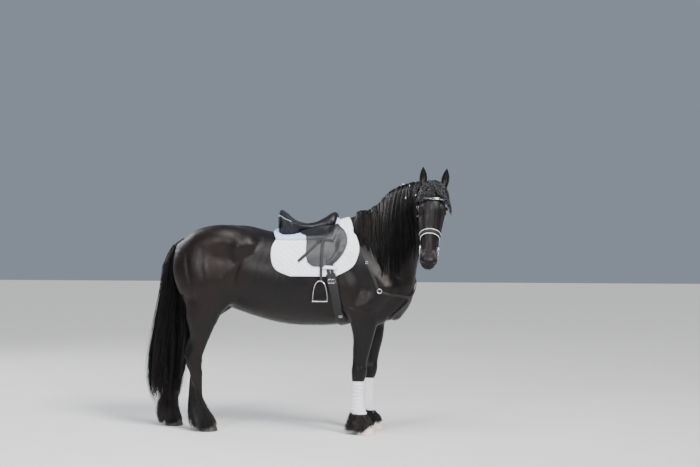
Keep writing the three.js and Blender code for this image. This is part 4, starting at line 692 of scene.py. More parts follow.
# ---- Materials: each is a Finish while it is made, then a material with the name of its slot
class Finish:
    """Nodes that lead into the one shader of a material."""

    def __init__(self, name):
        self.material = bpy.data.materials.new(name)
        self.material.use_nodes = True
        self.tree = self.material.node_tree
        self.shader = self.tree.nodes["Principled BSDF"]

    def fill(self, node, values):
        """A node's inputs, each from another node's output, a number or a colour."""
        for key, value in values.items():
            if isinstance(value, bpy.types.NodeSocket):
                self.tree.links.new(value, node.inputs[key])
            else:
                node.inputs[key].default_value = value

    def node(self, kind, values=(), **settings):
        node = self.tree.nodes.new(kind)
        for key, value in settings.items():
            setattr(node, key, value)
        self.fill(node, dict(values))
        return node

    def ramp(self, source, *stops):
        """Greys or colours at places from 0 to 1 of the source."""
        node = self.node("ShaderNodeValToRGB", {0: source})
        elements = node.color_ramp.elements
        while len(elements) < len(stops):
            elements.new(0.5)
        for element, (position, tone) in zip(elements, stops):
            element.position = position
            element.color = (tone,) * 3 + (1,) if np.isscalar(tone) else (*tone, 1)
        return node.outputs[0]

    def where(self, stretch=(1, 1, 1)):
        """The model's own coordinates, stretched."""
        coordinates = self.node("ShaderNodeTexCoord").outputs["Object"]
        return self.node("ShaderNodeMapping", {"Vector": coordinates, "Scale": stretch}).outputs[0]

    def noise(self, scale, detail=4, roughness=0.55, stretch=(1, 1, 1)):
        values = {"Vector": self.where(stretch), "Scale": scale, "Detail": detail, "Roughness": roughness}
        return self.node("ShaderNodeTexNoise", values).outputs["Fac"]

    def sum(self, operation, *values):
        return self.node("ShaderNodeMath", dict(enumerate(values)), operation=operation).outputs[0]

    def mix(self, share, first, second):
        ends = {key: value if isinstance(value, bpy.types.NodeSocket) else (*value, 1)
                for key, value in (("A", first), ("B", second))}
        return self.node("ShaderNodeMix", {0: share, **ends}, data_type="RGBA").outputs["Result"]

    def work_map(self):
        """The two values that slab and its like store in the map named Work."""
        uv = self.node("ShaderNodeUVMap", uv_map="Work").outputs[0]
        return self.node("ShaderNodeSeparateXYZ", {0: uv}).outputs[:2]

    def bump(self, height, strength, distance):
        bump = self.node("ShaderNodeBump", {"Height": height, "Strength": strength, "Distance": distance})
        self.tree.links.new(bump.outputs[0], self.shader.inputs["Normal"])

    def done(self, slot, values):
        self.fill(self.shader, values)
        return self.material, slot


def coat_colour(make, dark, brown, amount):
    """Black with a lighter tone in patches: a brown tinge, but a painted grey sheen on the forelock."""
    return make.mix(make.ramp(make.noise(2.3, 5), (0.42, 0), (0.74, amount)), dark, brown)


def coat_material():
    """Short glossy hair: its lie and its single hairs are in the bump."""
    make = Finish("black_coat")
    hairs, lie = make.noise(900, 3, 0.6, (0.22, 1, 0.16)), make.noise(34, 5, 0.62, (0.6, 1, 0.5))
    make.bump(make.sum("ADD", hairs, lie), 0.62, 0.0016)
    return make.done("coat", {
        "Base Color": coat_colour(make, (0.0022, 0.0019, 0.0022), (0.013, 0.0050, 0.0028), 0.55),
        "Roughness": make.ramp(make.noise(24, 8, 0.72), (0.3, 0.27), (0.7, 0.52)),
        "Specular IOR Level": 0.24, "Sheen Weight": 0.008, "Sheen Roughness": 0.5,
    })


def hair_material(name, dark, brown, amount, roughness, shine):
    make = Finish(name)
    make.bump(make.noise(700, 2, 0.6, (1, 1, 0.1)), 0.35, 0.0006)
    return make.done("long_hair", {
        "Base Color": coat_colour(make, dark, brown, amount),
        "Roughness": make.ramp(make.noise(25, 4), (0.3, roughness - 0.07), (0.7, roughness + 0.12)),
        "Specular IOR Level": shine,
    })


RIBS_TO_A_METRE, GROOVE_SHARE = 240, 0.32


def leather_material(name, colour, wear_and_reflection, roughness, shine=0.3, ribbed=True, border=0.0):
    """Grained leather with rubbed edges, fine paler ribs across it and a darker border of a given width. The
    second colour is wear, but on the flap both colours are black leather lightened by a painted sky
    reflection.
    """
    make = Finish(name)
    along, from_edge = make.work_map()
    patches = make.ramp(make.noise(14, 5), (0.35, 0), (0.8, 0.5))
    rubbed = make.ramp(from_edge, (0.0, 0.8), (0.002, 0))
    base = make.mix(make.sum("MAXIMUM", patches, rubbed), colour, wear_and_reflection)
    if border:
        dark_edge = make.ramp(make.sum("DIVIDE", from_edge, border), (0.8, 1), (1.0, 0))
        base = make.mix(dark_edge, base, (0.005, 0.005, 0.006))
    grain = make.node("ShaderNodeTexVoronoi", {"Vector": make.where(), "Scale": 620}).outputs["Distance"]
    height = make.sum("MULTIPLY_ADD", grain, 0.35, 0.5)
    if ribbed:
        beat = make.sum("FRACT", make.sum("MULTIPLY", along, RIBS_TO_A_METRE))
        rib = make.sum("GREATER_THAN", beat, GROOVE_SHARE)
        base = make.mix(rib, base, (0.03, 0.03, 0.032))
        height = make.sum("MULTIPLY_ADD", rib, 0.9, height)
    make.bump(height, 0.5, 0.0006)
    return make.done("black_leather", {
        "Base Color": base,
        "Roughness": make.ramp(make.noise(30, 4), (0.3, roughness), (0.75, roughness + 0.16)),
        "Specular IOR Level": shine, "Coat Weight": 0.04, "Coat Roughness": 0.25,
    })


def cloth_material(name, slot, colour, shade, weave=1500, quilt=0.0, nap=0.3):
    """Cotton or fleece: weave, patches of a second, darker tone, and sewn diamonds where quilt is their size,
    with painted shade in their seams.
    """
    make = Finish(name)
    base = make.mix(make.ramp(make.noise(5, 6, 0.65), (0.4, 0), (0.85, 1)), colour, shade)
    u, v = make.work_map()
    threads = make.node("ShaderNodeTexNoise", {"Vector": make.where(), "Scale": weave / 2, "Detail": 2})
    wales, wefts = (make.sum("SINE", make.sum("MULTIPLY", way, weave * 3)) for way in (u, v))
    height = make.sum("MULTIPLY_ADD", make.sum("MULTIPLY", wales, wefts), 0.2, threads.outputs["Fac"])
    if quilt:
        rows = [make.sum("SINE", make.sum("MULTIPLY", make.sum(way, u, v), math.pi / quilt))
                for way in ("ADD", "SUBTRACT")]
        near = make.sum("MINIMUM", *(make.sum("ABSOLUTE", row) for row in rows))
        seam = make.ramp(near, (0.0, 1), (0.09, 0))
        # Painted shade: the quilt's seams are darkened towards the second tone.
        base = make.mix(make.sum("MULTIPLY", seam, 0.5), base, tuple(0.55 * c for c in shade))
        height = make.sum("MULTIPLY_ADD", seam, -2.0, height)
    make.bump(height, 0.5, 0.0008)
    return make.done(slot, {"Base Color": base, "Roughness": 0.9, "Sheen Weight": nap})


def steel_material():
    make = Finish("polished_steel")
    make.bump(make.noise(500, 3), 0.08, 0.0003)
    return make.done("steel", {
        "Base Color": make.ramp(make.noise(40, 4), (0.3, (0.55, 0.56, 0.58)), (0.8, (0.78, 0.78, 0.79))),
        "Roughness": make.ramp(make.noise(160, 5, 0.7), (0.3, 0.16), (0.8, 0.36)), "Metallic": 1.0,
    })


def horn_material(name, slot, low, high, dust):
    """Hoof horn: growth rings round the wall and fine streaks down it, dusty at the ground."""
    make = Finish(name)
    streaks = make.noise(90, 5, 0.6, (1, 1, 0.09))
    z = make.node("ShaderNodeSeparateXYZ", {0: make.where()}).outputs[2]
    dusty = make.ramp(z, (0.0, 0.7), (0.012, 0))
    rings = make.sum("SINE", make.sum("MULTIPLY_ADD", z, 760, make.sum("MULTIPLY", make.noise(12), 4)))
    make.bump(make.sum("MULTIPLY_ADD", rings, 0.4, streaks), 0.5, 0.001)
    base = make.mix(dusty, make.ramp(streaks, (0.25, low), (0.8, high)), dust)
    return make.done(slot, {"Base Color": base, "Roughness": 0.5})


def eye_material():
    """Dark brown iris with a wide oval pupil, under a wet cornea."""
    make = Finish("dark_eye")
    ray, rise = (make.sum("POWER", way, 2) for way in make.work_map())
    pupil, iris = (make.sum("SQRT", make.sum("ADD", ray, make.sum("MULTIPLY", rise, oval)))
                   for oval in (3.4, 1.25))
    fibres = make.ramp(make.noise(900, 4), (0.3, (0.018, 0.007, 0.003)), (0.7, (0.06, 0.024, 0.010)))
    ball = make.mix(make.ramp(iris, (0.60, 0), (0.68, 1)), fibres, (0.022, 0.016, 0.015))
    base = make.mix(make.ramp(pupil, (0.30, 1), (0.36, 0)), ball, (0.002, 0.003, 0.006))
    return make.done("eye", {
        "Base Color": base, "Roughness": 0.06, "Coat Weight": 1.0, "Coat Roughness": 0.02,
    })


def floor_material():
    make = Finish("pale_floor")
    shade = make.ramp(make.noise(3, 3), (0.2, (0.70, 0.695, 0.68)), (0.8, (0.75, 0.745, 0.735)))
    return make.done(None, {"Base Color": shade, "Roughness": 0.85})[0]


QUILT = 0.050
COAT = coat_material()
FUR = COAT[0], "long_hair"
HAIR = hair_material("long_black_hair", (0.0030, 0.0027, 0.0031), (0.011, 0.0055, 0.0036), 0.5, 0.36, 0.26)
# The forelock's base is lighter and bluer than the mane's: a painted grey sheen on black hair.
LOCK_HAIR = hair_material(
    "forelock_hair_painted_sheen", (0.0070, 0.0074, 0.0090), (0.0160, 0.0150, 0.0155), 0.5, 0.27, 0.75)
FEATHER_HAIR = hair_material("feather_hair", (0.0050, 0.0045, 0.0050), (0.016, 0.011, 0.009), 0.7, 0.38, 0.42)
LEATHER = leather_material("black_leather", (0.0022, 0.0022, 0.0027), (0.0065, 0.0062, 0.0070), 0.34, 0.14)
# The flap's grey-blue and its paler blue patches are a painted sky reflection on black leather.
FLAP_LEATHER = leather_material(
    "flap_leather_painted_sky", (0.008, 0.0105, 0.0145), (0.026, 0.033, 0.046), 0.27, 0.36, border=0.013)
PLAIN_LEATHER = leather_material(
    "seat_leather", (0.004, 0.004, 0.0052), (0.014, 0.0145, 0.017), 0.30, ribbed=False)
# The pad's cool tint and bluer second tone are painted blue shade on white cotton.
QUILTED = cloth_material("quilted_cotton", "pad_cloth", (0.86, 0.87, 0.92), (0.70, 0.72, 0.80), 900, QUILT)
FLEECE = cloth_material("pale_blue_fleece", "pad_cloth", (0.50, 0.58, 0.84), (0.38, 0.46, 0.72), 260, 0, 0.5)
WEBBING = cloth_material("white_webbing", "keeper_web", (0.80, 0.80, 0.83), (0.62, 0.61, 0.60), 2200)
WRAP_CLOTH = cloth_material("wrap_fleece", "wrap_cloth", (0.74, 0.715, 0.78), (0.52, 0.48, 0.53), 500, 0, 0.4)
PIPING = cloth_material("white_piping", "pad_cloth", (0.82, 0.82, 0.83), (0.62, 0.62, 0.62), 2600)
GREY_PIPING = cloth_material("grey_piping", "black_leather", (0.22, 0.25, 0.33), (0.13, 0.14, 0.18), 2600)
STEEL = steel_material()
PALE_HORN = horn_material(
    "pale_horn", "hoof_pale", (0.52, 0.41, 0.39), (0.80, 0.71, 0.70), (0.70, 0.64, 0.58))
DARK_HORN = horn_material(
    "dark_horn", "hoof_dark", (0.012, 0.011, 0.011), (0.045, 0.040, 0.038), (0.12, 0.10, 0.085))
EYE = eye_material()


# ---- The skin as one piece: the body on a wide grid, the head on a fine one, the ears swept
def head_side(points):
    """How far points lie on the head's side of its join with the neck, which two planes bound."""
    r = in_head(points)
    ahead = np.minimum(r[:, 0] * 0.757 - r[:, 2] * 0.655 + 143.5, r[:, 0] + 265)
    return np.where((points[:, 0] > 955) & (points[:, 2] > 1170), ahead, -1e3)


def clipped_body(points):
    """The body down to the coronets, sunk where the finer head takes over."""
    d = soft_min(body_flesh(points), head_flesh(points), HEAD_BLEND)
    return np.maximum(d + np.clip(head_side(points) / 24, 0, 1) * 60, 76 - points[:, 2])


def clipped_face(points):
    return np.maximum(face(points), -4 - head_side(points))


# Height up the ear, half width, depth and the share that its hollow takes
EAR_ROWS = [
    [-16, 25, 23, 0.05], [0, 21, 18, 0.12], [28, 26, 23, 0.52], [62, 30, 23, 0.76], [98, 26, 18, 0.82],
    [128, 16.5, 11.5, 0.84], [148, 7, 5, 0.84], [157, 2.4, 1.8, 0.8],
]


EAR_AT, EAR_LEAN, EAR_SPLAY, EAR_YAW = (-56, 78, 24), *(math.radians(a) for a in (10, -4, -8))
EAR_COLUMNS = 15


def on_ear(points, side):
    turn = turned("y", EAR_LEAN) @ turned("x", EAR_SPLAY * side) @ turned("z", EAR_YAW * side)
    return on_head(np.asarray(points) @ turn.T + np.array(EAR_AT) * [1, side, 1])


def ear_mesh(side):
    """A shell open to the front: its outside, then its hollow inside."""
    rows = smooth_rows(EAR_ROWS, 4)
    turns = np.radians(np.linspace(60, 300, EAR_COLUMNS))
    lip = 1 + 0.06 * np.abs(np.cos(turns / 2)) ** 6
    rings = []
    for z, w, d, hollow in rows:
        outside = np.stack([d * np.cos(turns) * lip, w * np.sin(turns) * lip, np.full(EAR_COLUMNS, z)], 1)
        inside = outside[::-1] * [hollow, hollow, 1]
        rings.append(on_ear(np.concatenate([outside, inside]), side))
    return np.concatenate(rings), ring_quads(len(rows), 2 * EAR_COLUMNS, side < 0)


def smoothed(verts, quads, rounds):
    """A surface with its small creases taken out and its size kept."""
    pairs = np.concatenate([quads[:, [i, (i + 1) % 4]] for i in range(4)])
    ends, others = np.concatenate([pairs, pairs[:, ::-1]]).T
    count = np.bincount(ends, minlength=len(verts))[:, None]
    for i in range(rounds):
        mean = np.stack([np.bincount(ends, verts[others, a], len(verts)) for a in range(3)], 1) / count
        verts = verts + (mean - verts) * (0.62 if i % 2 == 0 else -0.64)
    return verts


def ring_quads(rows, columns, flip=False):
    r, c = np.meshgrid(np.arange(rows - 1), np.arange(columns), indexing="ij")
    a, b = r * columns + c, r * columns + (c + 1) % columns
    quads = np.stack([a, b, b + columns, a + columns], -1).reshape(-1, 4)
    return quads[:, ::-1] if flip else quads


def end_caps(rows, columns):
    """Triangles from the first and the last ring to two points that follow the rings."""
    k = np.arange(columns)
    after, last, tip = (k + 1) % columns, (rows - 1) * columns, np.full(columns, rows * columns)
    return [np.stack([after, k, tip], 1), np.stack([last + k, last + after, tip + 1], 1)]


BODY_STEP, FACE_STEP, BODY_ROUNDS = 8.0, 3.6, 14
BODY_BOX = [-1060, -400, 60], [1290, 400, 1980]
FACE_BOX = [950, -700, 1165], [1360, -60, 2060]
body_verts, body_quads = surface_of(clipped_body, *BODY_BOX, BODY_STEP, -COAT_DEPTH)
body_verts, body_normals = snapped(clipped_body, body_verts, -COAT_DEPTH)
body_shaped = smoothed(raised(body_verts, body_normals), body_quads, BODY_ROUNDS)
face_verts, face_quads = surface_of(clipped_face, *FACE_BOX, FACE_STEP, -COAT_DEPTH)
face_verts, face_normals = snapped(clipped_face, face_verts, -COAT_DEPTH)
face_shaped = face_raised(face_verts, face_normals)

skin_verts, skin_quads = [body_shaped, face_shaped], [body_quads, face_quads + len(body_verts)]
for verts, quads in (ear_mesh(side) for _, side in SIDES):
    skin_quads.append(quads + sum(len(v) for v in skin_verts))
    skin_verts.append(verts)
skin_verts, skin_quads = np.concatenate(skin_verts), np.concatenate(skin_quads)
corners = skin_verts[skin_quads]
face_middles = corners.mean(1)
face_facing = unit(np.cross(corners[:, 2] - corners[:, 0], corners[:, 3] - corners[:, 1]))
face_regions = region_of(face_middles)
face_regions[len(body_quads):] = "head"
loop_uv = np.zeros((len(skin_quads), 4, 2))
for corner in range(4):
    loop_uv[:, corner] = bake_uvs(corners[:, corner], face_facing, face_regions)
PAIRED_NODES = ("ear", "foreleg", "hind_leg")
SKIN_NODES = ["torso", "neck", "head"] + [f"{node}_{side}" for side, _ in SIDES for node in PAIRED_NODES]
skin = add_mesh("skin", skin_verts, [skin_quads], COAT, {"OFBake": loop_uv.reshape(-1, 2)})


# ---- Hair: tapered strands of three sides, each closed at both ends
STRAND_FLAT = 0.4


def strands(paths, widths, facing):
    """Strands along paths (n, steps, 3), as wide as widths (n, steps) and turned to face a way."""
    n, steps = paths.shape[:2]
    along = unit(np.gradient(paths, axis=1))
    across = unit(np.cross(along, facing))
    normal = np.cross(across, along)
    rings = steps - 1
    body = []
    for turn in (0.5, 0.5 + 2 * np.pi / 3, 0.5 + 4 * np.pi / 3):
        way = across * math.cos(turn) + normal * math.sin(turn) * STRAND_FLAT
        body.append(paths + way * widths[..., None] / 2)
    body = np.stack(body, 2)[:, :rings].reshape(n, rings * 3, 3)
    verts = np.concatenate([body, paths[:, -1:]], 1)
    each = rings * 3 + 1
    r, c = np.meshgrid(np.arange(rings - 1), np.arange(3), indexing="ij")
    a, b = r * 3 + c, r * 3 + (c + 1) % 3
    quads = np.stack([a, b, b + 3, a + 3], -1).reshape(-1, 4)
    last, tip = (rings - 1) * 3, each - 1
    tris = np.array([[last, last + 1, tip], [last + 1, last + 2, tip], [last + 2, last, tip], [2, 1, 0]])
    start = (np.arange(n) * each)[:, None, None]
    return verts.reshape(-1, 3), [(quads + start).reshape(-1, 4), (tris + start).reshape(-1, 3)], each


PATCH = 0.003  # the part of the baked square that one strand takes


def hair_piece(name, paths, widths, facing, root_uv, finish):
    verts, faces, each = strands(paths, widths, facing)
    local = np.stack([np.arange(each) % 3 / 2 - 0.5, np.arange(each) / each - 0.5], 1) * PATCH
    uv = (root_uv[:, None] + local).reshape(-1, 2)
    return add_mesh(name, verts, faces, finish, {"OFBake": np.clip(uv, 0, 1)})


def between(rows, place):
    """Values part of the way between rows of an array."""
    place = np.clip(place, 0, len(rows) - 1.001)
    i = place.astype(int)
    share = (place - i)[..., None]
    return rows[i] * (1 - share) + rows[i + 1] * share


def taper(steps, root=0.6, full=0.25, tip=0.12):
    s = np.linspace(0, 1, steps)
    return np.interp(s, [0, full, 0.6, 1], [root, 1, 0.8, tip])


def wave(n, steps, times, size, grows=1.0):
    """Sideways waves down n strands: one value to each step."""
    s = np.linspace(0, 1, steps)[None]
    phase, rate = RNG.uniform(0, 2 * np.pi, (n, 1)), RNG.uniform(0.7, 1.3, (n, 1)) * times
    return np.sin(phase + rate * 2 * np.pi * s) * size * s**grows


def grid_of_guides(roots, headings, falls, lengths, steps, lift, bend=0.5):
    """Lines that leave roots on the neck and head and fall over them, one row to a root."""
    here = snapped(neck_flesh, roots, -3.0)[0]
    way = unit(headings)
    line, normals = [here], [outward(neck_flesh, here)]
    for i in range(1, steps):
        way = unit(way * (1 - (0.12 if i < 2 else bend)) + falls * (0.12 if i < 2 else bend))
        here = here + way * (lengths / (steps - 1))[:, None]
        here, normal = snapped(neck_flesh, here, np.interp(i / (steps - 1), [0, 0.06, 0.2, 1], lift), 1)
        line.append(here)
        normals.append(normal)
    return np.stack(line, 1), np.stack(normals, 1)


MANE_ROOT = [
    [548, 0, 1652], [660, 0, 1745], [760, -8, 1822], [860, -40, 1888], [950, -90, 1925], [1020, -150, 1940],
    [1078, -212, 1938],
]
MANE_LENGTH = [[0, 400], [0.15, 600], [0.35, 760], [0.6, 800], [0.85, 700], [1, 620]]


def fall_of_hair(guides, normals, count, clumps, layer, steps, wobble, width, short=0.78):
    """Strands in clumps over a grid of guides: paths, widths and the way that they face."""
    rows, columns = guides.shape[:2]
    middles = (np.arange(clumps) + RNG.uniform(0.2, 0.8, clumps)) / clumps
    mine = RNG.integers(0, clumps, count)
    u = np.clip(middles[mine] + RNG.normal(0, 0.62 / clumps, count), 0, 1)
    s = np.linspace(0, 1, steps)[None]
    drawn_in = 0.85 * s**0.7
    length = RNG.uniform(short, 1.0, count) * (0.92 + 0.12 * RNG.random(clumps)[mine])
    sway = wave(clumps, steps, 1.6, 0.5 / clumps)[mine] + wave(count, steps, 2.2, 0.16 / clumps)
    at_u = u[:, None] * (1 - drawn_in) + middles[mine][:, None] * drawn_in + sway * wobble
    at_s = np.clip(s * length[:, None], 0, 1)
    du, ds = np.clip(at_u, 0, 1) * (rows - 1), at_s * (columns - 1)
    i, j = np.minimum(du.astype(int), rows - 2), np.minimum(ds.astype(int), columns - 2)
    fu, fs = (du - i)[..., None], (ds - j)[..., None]
    mix = lambda g: (g[i, j] * (1 - fu) * (1 - fs) + g[i + 1, j] * fu * (1 - fs)
                     + g[i, j + 1] * (1 - fu) * fs + g[i + 1, j + 1] * fu * fs)
    path, normal = mix(guides), unit(mix(normals))
    depth = RNG.random(clumps)[mine] * 0.5 + RNG.random(count) * 0.5
    rise = np.interp(s, [0, 0.1, 0.3, 1], [0.1, 1, 0.75, 0.45]) * layer
    path = path + normal * (depth[:, None] * rise + wave(count, steps, 2.5, 3))[..., None]
    return path, width * taper(steps) * RNG.uniform(0.6, 1.2, (count, 1)), normal


crest = smooth_rows(MANE_ROOT, 8)
crest_along = unit(np.gradient(crest, axis=0))
crest_right = unit(np.cross(crest_along, [0, 0, 1.0]))
crest_at = np.linspace(0, 1, len(crest))
fall = unit(np.stack([0.1 * np.sin(9 * crest_at), np.zeros(len(crest)), -np.ones(len(crest))], 1))
mane_guides, mane_normals = grid_of_guides(
    crest - crest_right * 14, crest_right + [0, 0, 0.85], fall, curve_at(MANE_LENGTH, crest_at),
    steps=26, lift=[-3, 16, 15, 14])
path, width, facing = fall_of_hair(
    mane_guides, mane_normals, count=3050, clumps=74, layer=26, steps=12, wobble=1.5, width=5.5)
crest_uv = bake_uvs(path[:, 0], facing[:, 0], np.full(len(path), "body"))
hair_piece("mane", path, width, facing, crest_uv, HAIR)

LOCKS, LOCK_STEPS = 17, 18
lock_y = np.linspace(-46, 46, LOCKS)
lock_roots = on_head(np.stack([np.full(LOCKS, -44), lock_y, np.full(LOCKS, 44)], 1))
lock_lean = np.interp(lock_y, [-46, -30, -20, 46], [-0.6, -0.25, 0.3, 0.72])
lock_heads = np.stack([head_way([0.9, 0.6 * lean, 0.12]) for lean in lock_lean])
lock_falls = np.stack([head_way([0.0, lean, -1]) for lean in lock_lean])
lock_lengths = np.interp(lock_y, [-46, -30, -22, -4, 8, 46], [225, 205, 165, 178, 285, 330])
lock_guides, lock_normals = grid_of_guides(
    lock_roots, lock_heads, lock_falls, lock_lengths, steps=20, lift=[-3, 22, 27, 24], bend=0.34)
path, width, facing = fall_of_hair(
    lock_guides, lock_normals, count=1350, clumps=30, layer=20, steps=LOCK_STEPS, wobble=4.0, width=4.4,
    short=0.6)
curl = np.cross(facing, unit(np.gradient(path, axis=1)))
path = path + curl * wave(len(path), LOCK_STEPS, 4.2, 7.5, 0.6)[..., None]
path = path + facing * wave(len(path), LOCK_STEPS, 4.2, 4, 0.6)[..., None]
fore_uv = bake_uvs(path[:, 0], facing[:, 0], np.full(len(path), "head"))
hair_piece("forelock", path, width, facing, fore_uv, LOCK_HAIR)

# x, y, z, half width, and how far the hair reaches ahead and behind
TAIL_ROWS = [
    [-796, 0, 1476, 22, 22, 22], [-838, 0, 1498, 26, 26, 26], [-900, 0, 1440, 44, 44, 44],
    [-935, 4, 1300, 64, 80, 66], [-940, 8, 1100, 78, 116, 82], [-962, 10, 880, 86, 140, 106],
    [-985, 12, 640, 90, 156, 134], [-1000, 12, 420, 88, 158, 146], [-1002, 12, 290, 76, 150, 140],
    [-1000, 12, 205, 56, 118, 112],
]
TAIL = [[x - 10, y, z, wide * 1.06, ahead, behind * 1.16] for x, y, z, wide, ahead, behind in TAIL_ROWS]


def in_form(rows, t, turn, share):
    """Points in a form of oval rows: down it by t, round it by turn, and out by a share of its size."""
    row = between(np.asarray(rows, float), np.clip(t, 0, 1) * (len(rows) - 1))
    ahead = np.cos(turn)
    x = row[..., 0] + share * ahead * np.where(ahead > 0, row[..., 4], row[..., 5])
    return np.stack([x, row[..., 1] + share * np.sin(turn) * row[..., 3], row[..., 2]], -1)


def tail_hair(count, clumps, steps, inner):
    """Strands in clumps within the tail's form: paths, widths and the way that they face."""
    mine = RNG.integers(0, clumps, count)
    clump_turn = 2 * np.pi * (np.arange(clumps) + RNG.uniform(0.1, 0.9, clumps)) / clumps
    clump_share = RNG.uniform(0.25, 0.62, clumps) if inner else RNG.uniform(0.66, 1.0, clumps)
    clump_tip = RNG.uniform(0.82, 1.02, clumps)
    turn = clump_turn[mine] + RNG.normal(0, 2.3 / clumps * 2, count)
    share = clump_share[mine] + RNG.normal(0, 0.05, count)
    s = np.linspace(0, 1, steps)[None]
    gather = 0.75 * s**1.4
    turns = turn[:, None] * (1 - gather) + clump_turn[mine][:, None] * gather
    turns = turns + wave(clumps, steps, 1.3, 0.16)[mine] + wave(count, steps, 2, 0.07)
    start = RNG.uniform(0.03, 0.3, count) ** 1.15
    stop = clump_tip[mine] * RNG.uniform(0.88, 1.06, count)
    t = start[:, None] + (stop - start)[:, None] * s
    stray = np.where(RNG.random(count) < 0.12, RNG.uniform(0.05, 0.3, count), 0.0)
    opened = np.minimum(1, 0.22 + s * 2.4) * share[:, None] * (1 - 0.1 * s**3) * (1 + stray[:, None] * s**2)
    path = in_form(TAIL, t, turns, opened)
    path[..., 2] -= np.maximum(t - 1, 0) * 700
    facing = np.stack([np.cos(turns), np.sin(turns), np.zeros_like(turns)], -1)
    return path, 6.0 * taper(steps, 0.6, 0.3, 0.1) * RNG.uniform(0.6, 1.25, (count, 1)), facing


tails = [tail_hair(count=2300, clumps=46, steps=13, inner=False),
         tail_hair(count=500, clumps=20, steps=11, inner=True)]
for name, (path, width, facing) in zip(("tail", "tail_inner"), tails):
    dock_uv = bake_uvs(path[:, 0], np.tile([-1.0, 0, 0], (len(path), 1)), np.full(len(path), "body"))
    made = hair_piece(name, path, width, facing, dock_uv, HAIR)
    if name == "tail":
        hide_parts("tail")

FEATHER_COUNT = {"fore": 1700, "hind": 2300}
# Ahead of the hoof's middle, height, half width, and the reach in front and behind
FEATHER_FORM = {
    "fore": [[-34, 146, 44, 32, 66], [-22, 113, 62, 52, 108], [-14, 80, 84, 72, 140], [-10, 47, 96, 84, 152],
             [-10, 14, 92, 76, 140]],
    "hind": [[-82, 430, 34, 40, 44], [-86, 377, 38, 46, 52], [-86, 299, 44, 58, 60], [-80, 240, 54, 64, 70],
             [-74, 181, 68, 74, 92], [-40, 103, 86, 96, 122], [-16, 40, 94, 84, 124], [-12, 14, 92, 76, 112]],
}


def feathers(end, name, side, count, clumps, steps):
    """The long hair round one foot, from the cannon down over the hoof."""
    x, y = HOOF_AT[end, side]
    rows = [[x + ahead, y, z, wide, front, back] for ahead, z, wide, front, back in FEATHER_FORM[end]]
    row_z = [row[2] for row in rows[::-1]]
    placed = fore_placed(FORE_CANNON, side) if end == "fore" else hind_placed(HIND_CANNON, side)
    cannon = np.array(placed)[::-1]
    field = flesh_of([downward(cannon[::-1], 16)])
    mine = RNG.integers(0, clumps, count)
    clump_turn = 2 * np.pi * RNG.random(clumps)
    turn = clump_turn[mine] + RNG.normal(0, 0.3, count)
    rear = (1 - np.cos(turn)) / 2
    highest = (206 if end == "fore" else 440) * (0.6 + 0.4 * rear)
    root_z = 84 + (highest - 84) * RNG.random(count) ** 1.3
    axis = np.stack([np.interp(root_z, cannon[:, 2], cannon[:, i]) for i in (0, 1)] + [root_z], 1)
    way = np.stack([np.cos(turn), np.sin(turn), np.zeros(count)], 1)
    root = ray_end(field, axis, way, 130, 10)
    toe = 64 if end == "fore" else 24
    tip_z = toe - (toe - 9) * np.minimum(1, rear * 1.9) + RNG.uniform(0, 14, count)
    tip_z = tip_z + (root_z - 84) * 0.5 * RNG.random(count) ** 2
    share = RNG.uniform(0.66, 1.04, clumps)[mine] + RNG.normal(0, 0.05, count)
    clump_pull = RNG.uniform(0.5, 0.85, count)
    tip_turn = turn * (1 - clump_pull) + clump_turn[mine] * clump_pull
    at = lambda z: 1 - np.interp(z, row_z, np.linspace(0, 1, len(rows)))
    tip = in_form(rows, at(tip_z), tip_turn, share)
    tip[:, 2] = np.maximum(tip_z, 3)
    middle_z = tip_z + (root_z - tip_z) * 0.42
    middle = in_form(rows, at(middle_z), (turn + tip_turn) / 2, share)
    middle[:, 2] = middle_z
    lifted = root + way * 10 - [0, 0, 1] * (root_z - tip_z)[:, None] * 0.22
    s = np.linspace(0, 1, steps)[None, :, None]
    path = (root[:, None] * (1 - s) ** 3 + lifted[:, None] * 3 * s * (1 - s) ** 2
            + middle[:, None] * 3 * s**2 * (1 - s) + tip[:, None] * s**3)
    sideways = np.stack([-np.sin(turn), np.cos(turn), np.zeros(count)], 1)
    sway = wave(count, steps, 1.5, 5) + wave(clumps, steps, 1.1, 5)[mine]
    path = path + sideways[:, None] * sway[..., None]
    path[..., 2] = np.maximum(path[..., 2], 1.5)
    facing = np.repeat(way[:, None], steps, 1)
    uv = bake_uvs(root, way, np.full(count, f"{end}_{name}"))
    width = 4.6 * taper(steps, 0.7, 0.2, 0.1) * RNG.uniform(0.55, 1.2, (count, 1))
    hair_piece(f"feather_{end}_{name}", path, width, facing, uv, FEATHER_HAIR)
    SKIN_NODES.append(f"{end}_foot_{name}")


def lie_of_coat(points, normals, region):
    """The way that the short hair lies: back and down on the body, down the face and the legs."""
    way = np.tile([-0.62, 0.0, -0.78], (len(points), 1))
    way[points[:, 2] < 900] = [-0.18, 0, -1]
    way[region == "head"] = head_way([0.1, 0, -1])
    way = way - normals * (way * normals).sum(1, keepdims=True)
    return unit(way + RNG.normal(0, 0.12, way.shape))


